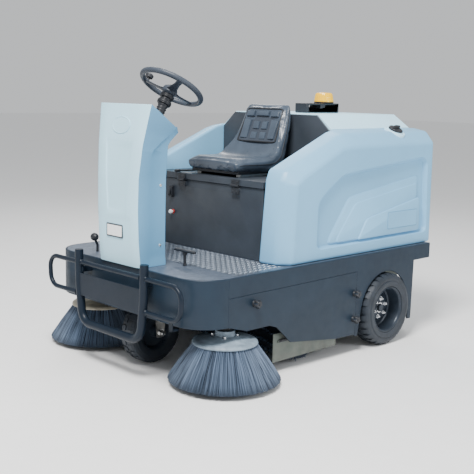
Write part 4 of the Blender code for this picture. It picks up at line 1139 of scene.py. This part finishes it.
def main_brush():
    """Roller with slanting rows of strands behind the side plates."""
    coat_node("main_brush_core", "steel")
    low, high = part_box("main_brush_bristles")
    y, z = (low[1] + high[1]) / 2, (low[2] + high[2]) / 2
    reach = (high[2] - low[2]) / 2
    data = turned([(0.050, low[0]), (reach * 0.86, low[0]), (reach * 0.86, high[0]), (0.050, high[0])],
            (0, y, z),
                  (1, 0, 0), 36)
    make("roller_sleeve", data, "bristle_core", "main_brush", ("main_brush_bristles",))
    tufts = bmesh.new()
    for row in range(14):
        for k in range(96):
            x = low[0] + 0.008 + (high[0] - low[0] - 0.016) * k / 95
            angle = TAU * (row / 14 + 0.22 * k / 95)
            for _ in range(3):
                a = angle + rng.uniform(-0.06, 0.06)
                out = Vector((0, math.cos(a), math.sin(a)))
                side = Vector((0, -math.sin(a), math.cos(a))) * 0.0022
                wide = Vector((0.0022, 0, 0))
                foot = Vector((x + rng.uniform(-0.004, 0.004), y, z)) + out * reach * 0.84
                tip = Vector((foot.x + rng.uniform(-0.005, 0.005), y,
                        z)) + out * (reach - rng.uniform(0, 0.004))
                corners = [tufts.verts.new(p) for p in (foot + side, foot - side + wide,
                        foot - side - wide, tip)]
                tufts.faces.new((corners[0], corners[1], corners[3]))
                tufts.faces.new((corners[1], corners[2], corners[3]))
                tufts.faces.new((corners[2], corners[0], corners[3]))
                tufts.faces.new((corners[2], corners[1], corners[0]))
    make("roller_tufts", tufts, "bristle", "main_brush", smooth=False)
    housing = bmesh.new()
    for side in (-1, 1):
        outline = [(-0.368, 0.055), (0.117, 0.055), (0.117, 0.200), (-0.368, 0.200)]
        slab(outline, "X", *sorted((side * 0.5482, side * 0.5512)), housing)
        block((min(side * 0.552, side * 0.556), -0.335, 0.150), (max(side * 0.552, side * 0.556),
                -0.280, 0.166), housing)
    make("side_plates", housing, "housing", "chassis", bevel=0.0012)
    coat_node("brush_housing", "housing")
    clips = bmesh.new()
    for side in (-1, 1):
        block((min(side * 0.5512, side * 0.5575), -0.330, 0.152), (max(side * 0.5512, side * 0.5575),
                -0.250, 0.166), clips)
        for y0 in (-0.315, -0.265):
            rod((side * 0.5512, y0, 0.159), (side * 0.5610, y0, 0.159), 0.005, 10, clips)
    make("plate_clips", clips, "black", "chassis", bevel=0.001)


# ---------------------------------------------------------------- wheels

def lugs(centre, axis_sign, radius, half, count, depth, data):
    """Tread blocks: slanting bars that run from the shoulder to the middle, both sides out of step."""
    for side in (-1, 1):
        for k in range(count):
            angle = TAU * (k + (0.5 if side > 0 else 0)) / count
            rings = []
            for x, wide, low, high in ((0.12, 0.30, -0.004, depth), (0.72, 0.36, -0.004, depth),
                                       (1.00, 0.36, -0.018, -0.006), (1.035, 0.34, -0.034, -0.020)):
                ring = []
                step = TAU / count
                shift = 0.10 * step * (1 - x)
                for da, r in ((-wide, low), (wide, low), (wide * 0.92, high), (-wide * 0.92, high)):
                    a = angle + shift + da * step
                    ring.append(centre + Vector((axis_sign * side * half * x, (radius + r) * math.cos(a),
                                                 (radius + r) * math.sin(a))))
                rings.append(ring)
            loft(rings, data)


def rear_wheel(side, word):
    centre = Vector((side * 0.558, 0.487, 0.200))
    body = f"rear_wheel_{word}"
    radius = 0.1945
    profile = [(0.1275, -0.052), (0.1290, -0.056), (0.134, -0.0570), (0.150, -0.0600), (0.156,
            -0.0600), (0.158, -0.0580),
               (0.160, -0.0555), (0.172, -0.0585), (0.182, -0.0565), (0.189, -0.050), (radius - 0.001,
                       -0.040), (radius, -0.020),
               (radius, 0.020), (radius - 0.001, 0.040), (0.189, 0.050), (0.182, 0.0565), (0.172,
                       0.0585), (0.160, 0.0555), (0.158, 0.0580),
               (0.156, 0.0600), (0.150, 0.0600), (0.134, 0.0570), (0.1290, 0.056), (0.1275, 0.052)]
    data = turned(profile, centre, (1, 0, 0), 96)
    lugs(centre, 1, radius, 0.0535, 30, 0.0052, data)
    make(f"rear_tyre_{word}_skin", data, "tyre", body, (f"rear_tyre_{word}",), bevel=0)
    axis = (side, 0, 0)
    origin = (0, 0.487, 0.200)
    rim = [(0, 0.566), (0.018, 0.566), (0.020, 0.564), (0.021, 0.553), (0.030, 0.553), (0.032, 0.551),
            (0.062, 0.551),
           (0.067, 0.549), (0.080, 0.535), (0.101, 0.533), (0.108, 0.538), (0.1115, 0.560), (0.1125, 0.600),
           (0.116, 0.608), (0.122, 0.6125), (0.1262, 0.6115), (0.127, 0.606), (0.127, 0.504), (0.112,
                   0.504),
           (0.112, 0.528), (0.045, 0.530), (0.045, 0.505), (0.0256, 0.505), (0.0256, 0.545), (0, 0.545)]
    make(f"rear_rim_{word}_skin", turned(rim, origin, axis, 72), "rim", body, (f"rear_rim_{word}",))
    bright = bmesh.new()
    for k in range(6):
        angle = TAU * k / 6 + 0.3
        spot = (0, 0.487 + 0.050 * math.cos(angle), 0.200 + 0.050 * math.sin(angle))
        turned([(0, 0.5505), (0.0115, 0.5505), (0.0110, 0.553), (0, 0.553)], spot, axis, 20, bright)
        turned([(0, 0.553), (0.0085, 0.553), (0.0085, 0.560), (0.007, 0.5615), (0, 0.5615)], spot,
                axis, 6, bright)
        turned([(0, 0.561), (0.0045, 0.561), (0.0045, 0.567), (0.003, 0.568), (0, 0.568)], spot, axis,
                14, bright)
    turned([(0.0225, 0.551), (0.0285, 0.551), (0.0275, 0.5555), (0.0235, 0.5555)], origin, axis, 48, bright)
    make(f"hub_bolts_{word}", bright, "chrome", body)
    refine(f"stub_axle_{word}", "chassis", "frame", 0.002)


def front_wheel():
    centre = Vector((0, -0.682, 0.162))
    radius = 0.1575
    profile = [(0.0925, -0.042), (0.096, -0.0455), (0.110, -0.0480), (0.128, -0.0495), (0.130,
            -0.0475), (0.143, -0.0470),
               (0.150, -0.043), (radius - 0.001, -0.034), (radius, -0.016), (radius, 0.016),
               (radius - 0.001, 0.034),
               (0.150, 0.043), (0.143, 0.0470), (0.130, 0.0475), (0.128, 0.0495), (0.110, 0.0480),
               (0.096, 0.0455),
               (0.0925, 0.042)]
    data = turned(profile, centre, (1, 0, 0), 80)
    lugs(centre, 1, radius, 0.0445, 26, 0.0042, data)
    make("front_tyre_skin", data, "tyre", "front_wheel", ("front_tyre",))
    rim = [(0.0104, -0.055), (0.026, -0.055), (0.028, -0.050), (0.030, -0.022), (0.050, -0.018),
            (0.078, -0.020),
           (0.084, -0.034), (0.088, -0.042), (0.092, -0.044), (0.092, 0.044), (0.088, 0.042), (0.084,
                   0.034),
           (0.078, 0.020), (0.050, 0.018), (0.030, 0.022), (0.028, 0.050), (0.026, 0.055), (0.0104, 0.055)]
    make("front_rim_skin", turned(rim, centre, (1, 0, 0), 56), "rim", "front_wheel", ("front_rim",))
    refine("front_fork", "fork", "steel", 0.0025)
    nuts = bmesh.new()
    for side in (-1, 1):
        rod((side * 0.0785, -0.682, 0.162), (side * 0.081, -0.682, 0.162), 0.019, 28, nuts)
        rod((side * 0.094, -0.682, 0.162), (side * 0.100, -0.682, 0.162), 0.0095, 20, nuts, 0.001)
    make("axle_washers", nuts, "chrome", "fork")


def frame_parts():
    refine("frame_rails", "chassis", "frame", 0.002)


# ---------------------------------------------------------------- stage

def stage():
    floor_data = bmesh.new()
    size = 40.0
    corners = [floor_data.verts.new((x * size, y * size, 0)) for x, y in ((-1, -1), (1, -1), (1, 1),
            (-1, 1))]
    floor_data.faces.new(corners)
    mesh = bpy.data.meshes.new("floor")
    floor_data.to_mesh(mesh)
    floor_data.free()
    floor = bpy.data.objects.new("floor", mesh)
    bpy.context.scene.collection.objects.link(floor)
    mesh.materials.append(finish("studio_floor", (0.90, 0.90, 0.90), 0.9, tint=0.01))

    world = bpy.data.worlds.new("studio")
    bpy.context.scene.world = world
    world.use_nodes = True
    backdrop = world.node_tree.nodes["Background"]
    backdrop.inputs["Color"].default_value = (0.96, 0.98, 1.0, 1)
    backdrop.inputs["Strength"].default_value = 0.70
    for name, place, aim, power, size, tone in (
            ("key", (1.6, -2.6, 5.0), (0, 0, 0.6), 520, 1.6, (1.0, 0.99, 0.97)),
            ("side", (4.8, 1.2, 2.2), (0.3, 0.1, 0.7), 70, 1.8, (0.95, 0.98, 1.0)),
            ("rim", (-3.0, 2.5, 4.0), (0, 0, 0.9), 90, 2.2, (1.0, 1.0, 1.0))):
        lamp = bpy.data.lights.new(name, "AREA")
        lamp.energy = power
        lamp.size = size
        lamp.color = tone
        item = bpy.data.objects.new(name, lamp)
        item.location = place
        item.rotation_euler = (Vector(aim) - Vector(place)).to_track_quat("-Z", "Y").to_euler()
        bpy.context.scene.collection.objects.link(item)

    lens = bpy.data.cameras.new("camera")
    lens.sensor_width = 36.0
    lens.lens = 66.215
    view = bpy.data.objects.new("camera", lens)
    yaw, pitch, roll = math.radians(45.366), math.radians(-9.361), math.radians(1.313)
    turn = Matrix.Rotation(yaw, 4, "Z") @ Matrix.Rotation(math.pi / 2 + pitch, 4,
            "X") @ Matrix.Rotation(roll, 4, "Z")
    view.matrix_world = Matrix.Translation((3.3386, -3.3825, 1.3514)) @ turn
    bpy.context.scene.collection.objects.link(view)
    bpy.context.scene.camera = view


def main():
    frame_parts()
    skirts()
    star_knobs()
    deck()
    bumper()
    console()
    steering()
    pedals()
    seat_box()
    seat()
    filler()
    rear()
    main_brush()
    front_wheel()
    for side, word in ((1, "left"), (-1, "right")):
        cover(side, word)
        side_brush(side, word)
        rear_wheel(side, word)
    stage()


main()
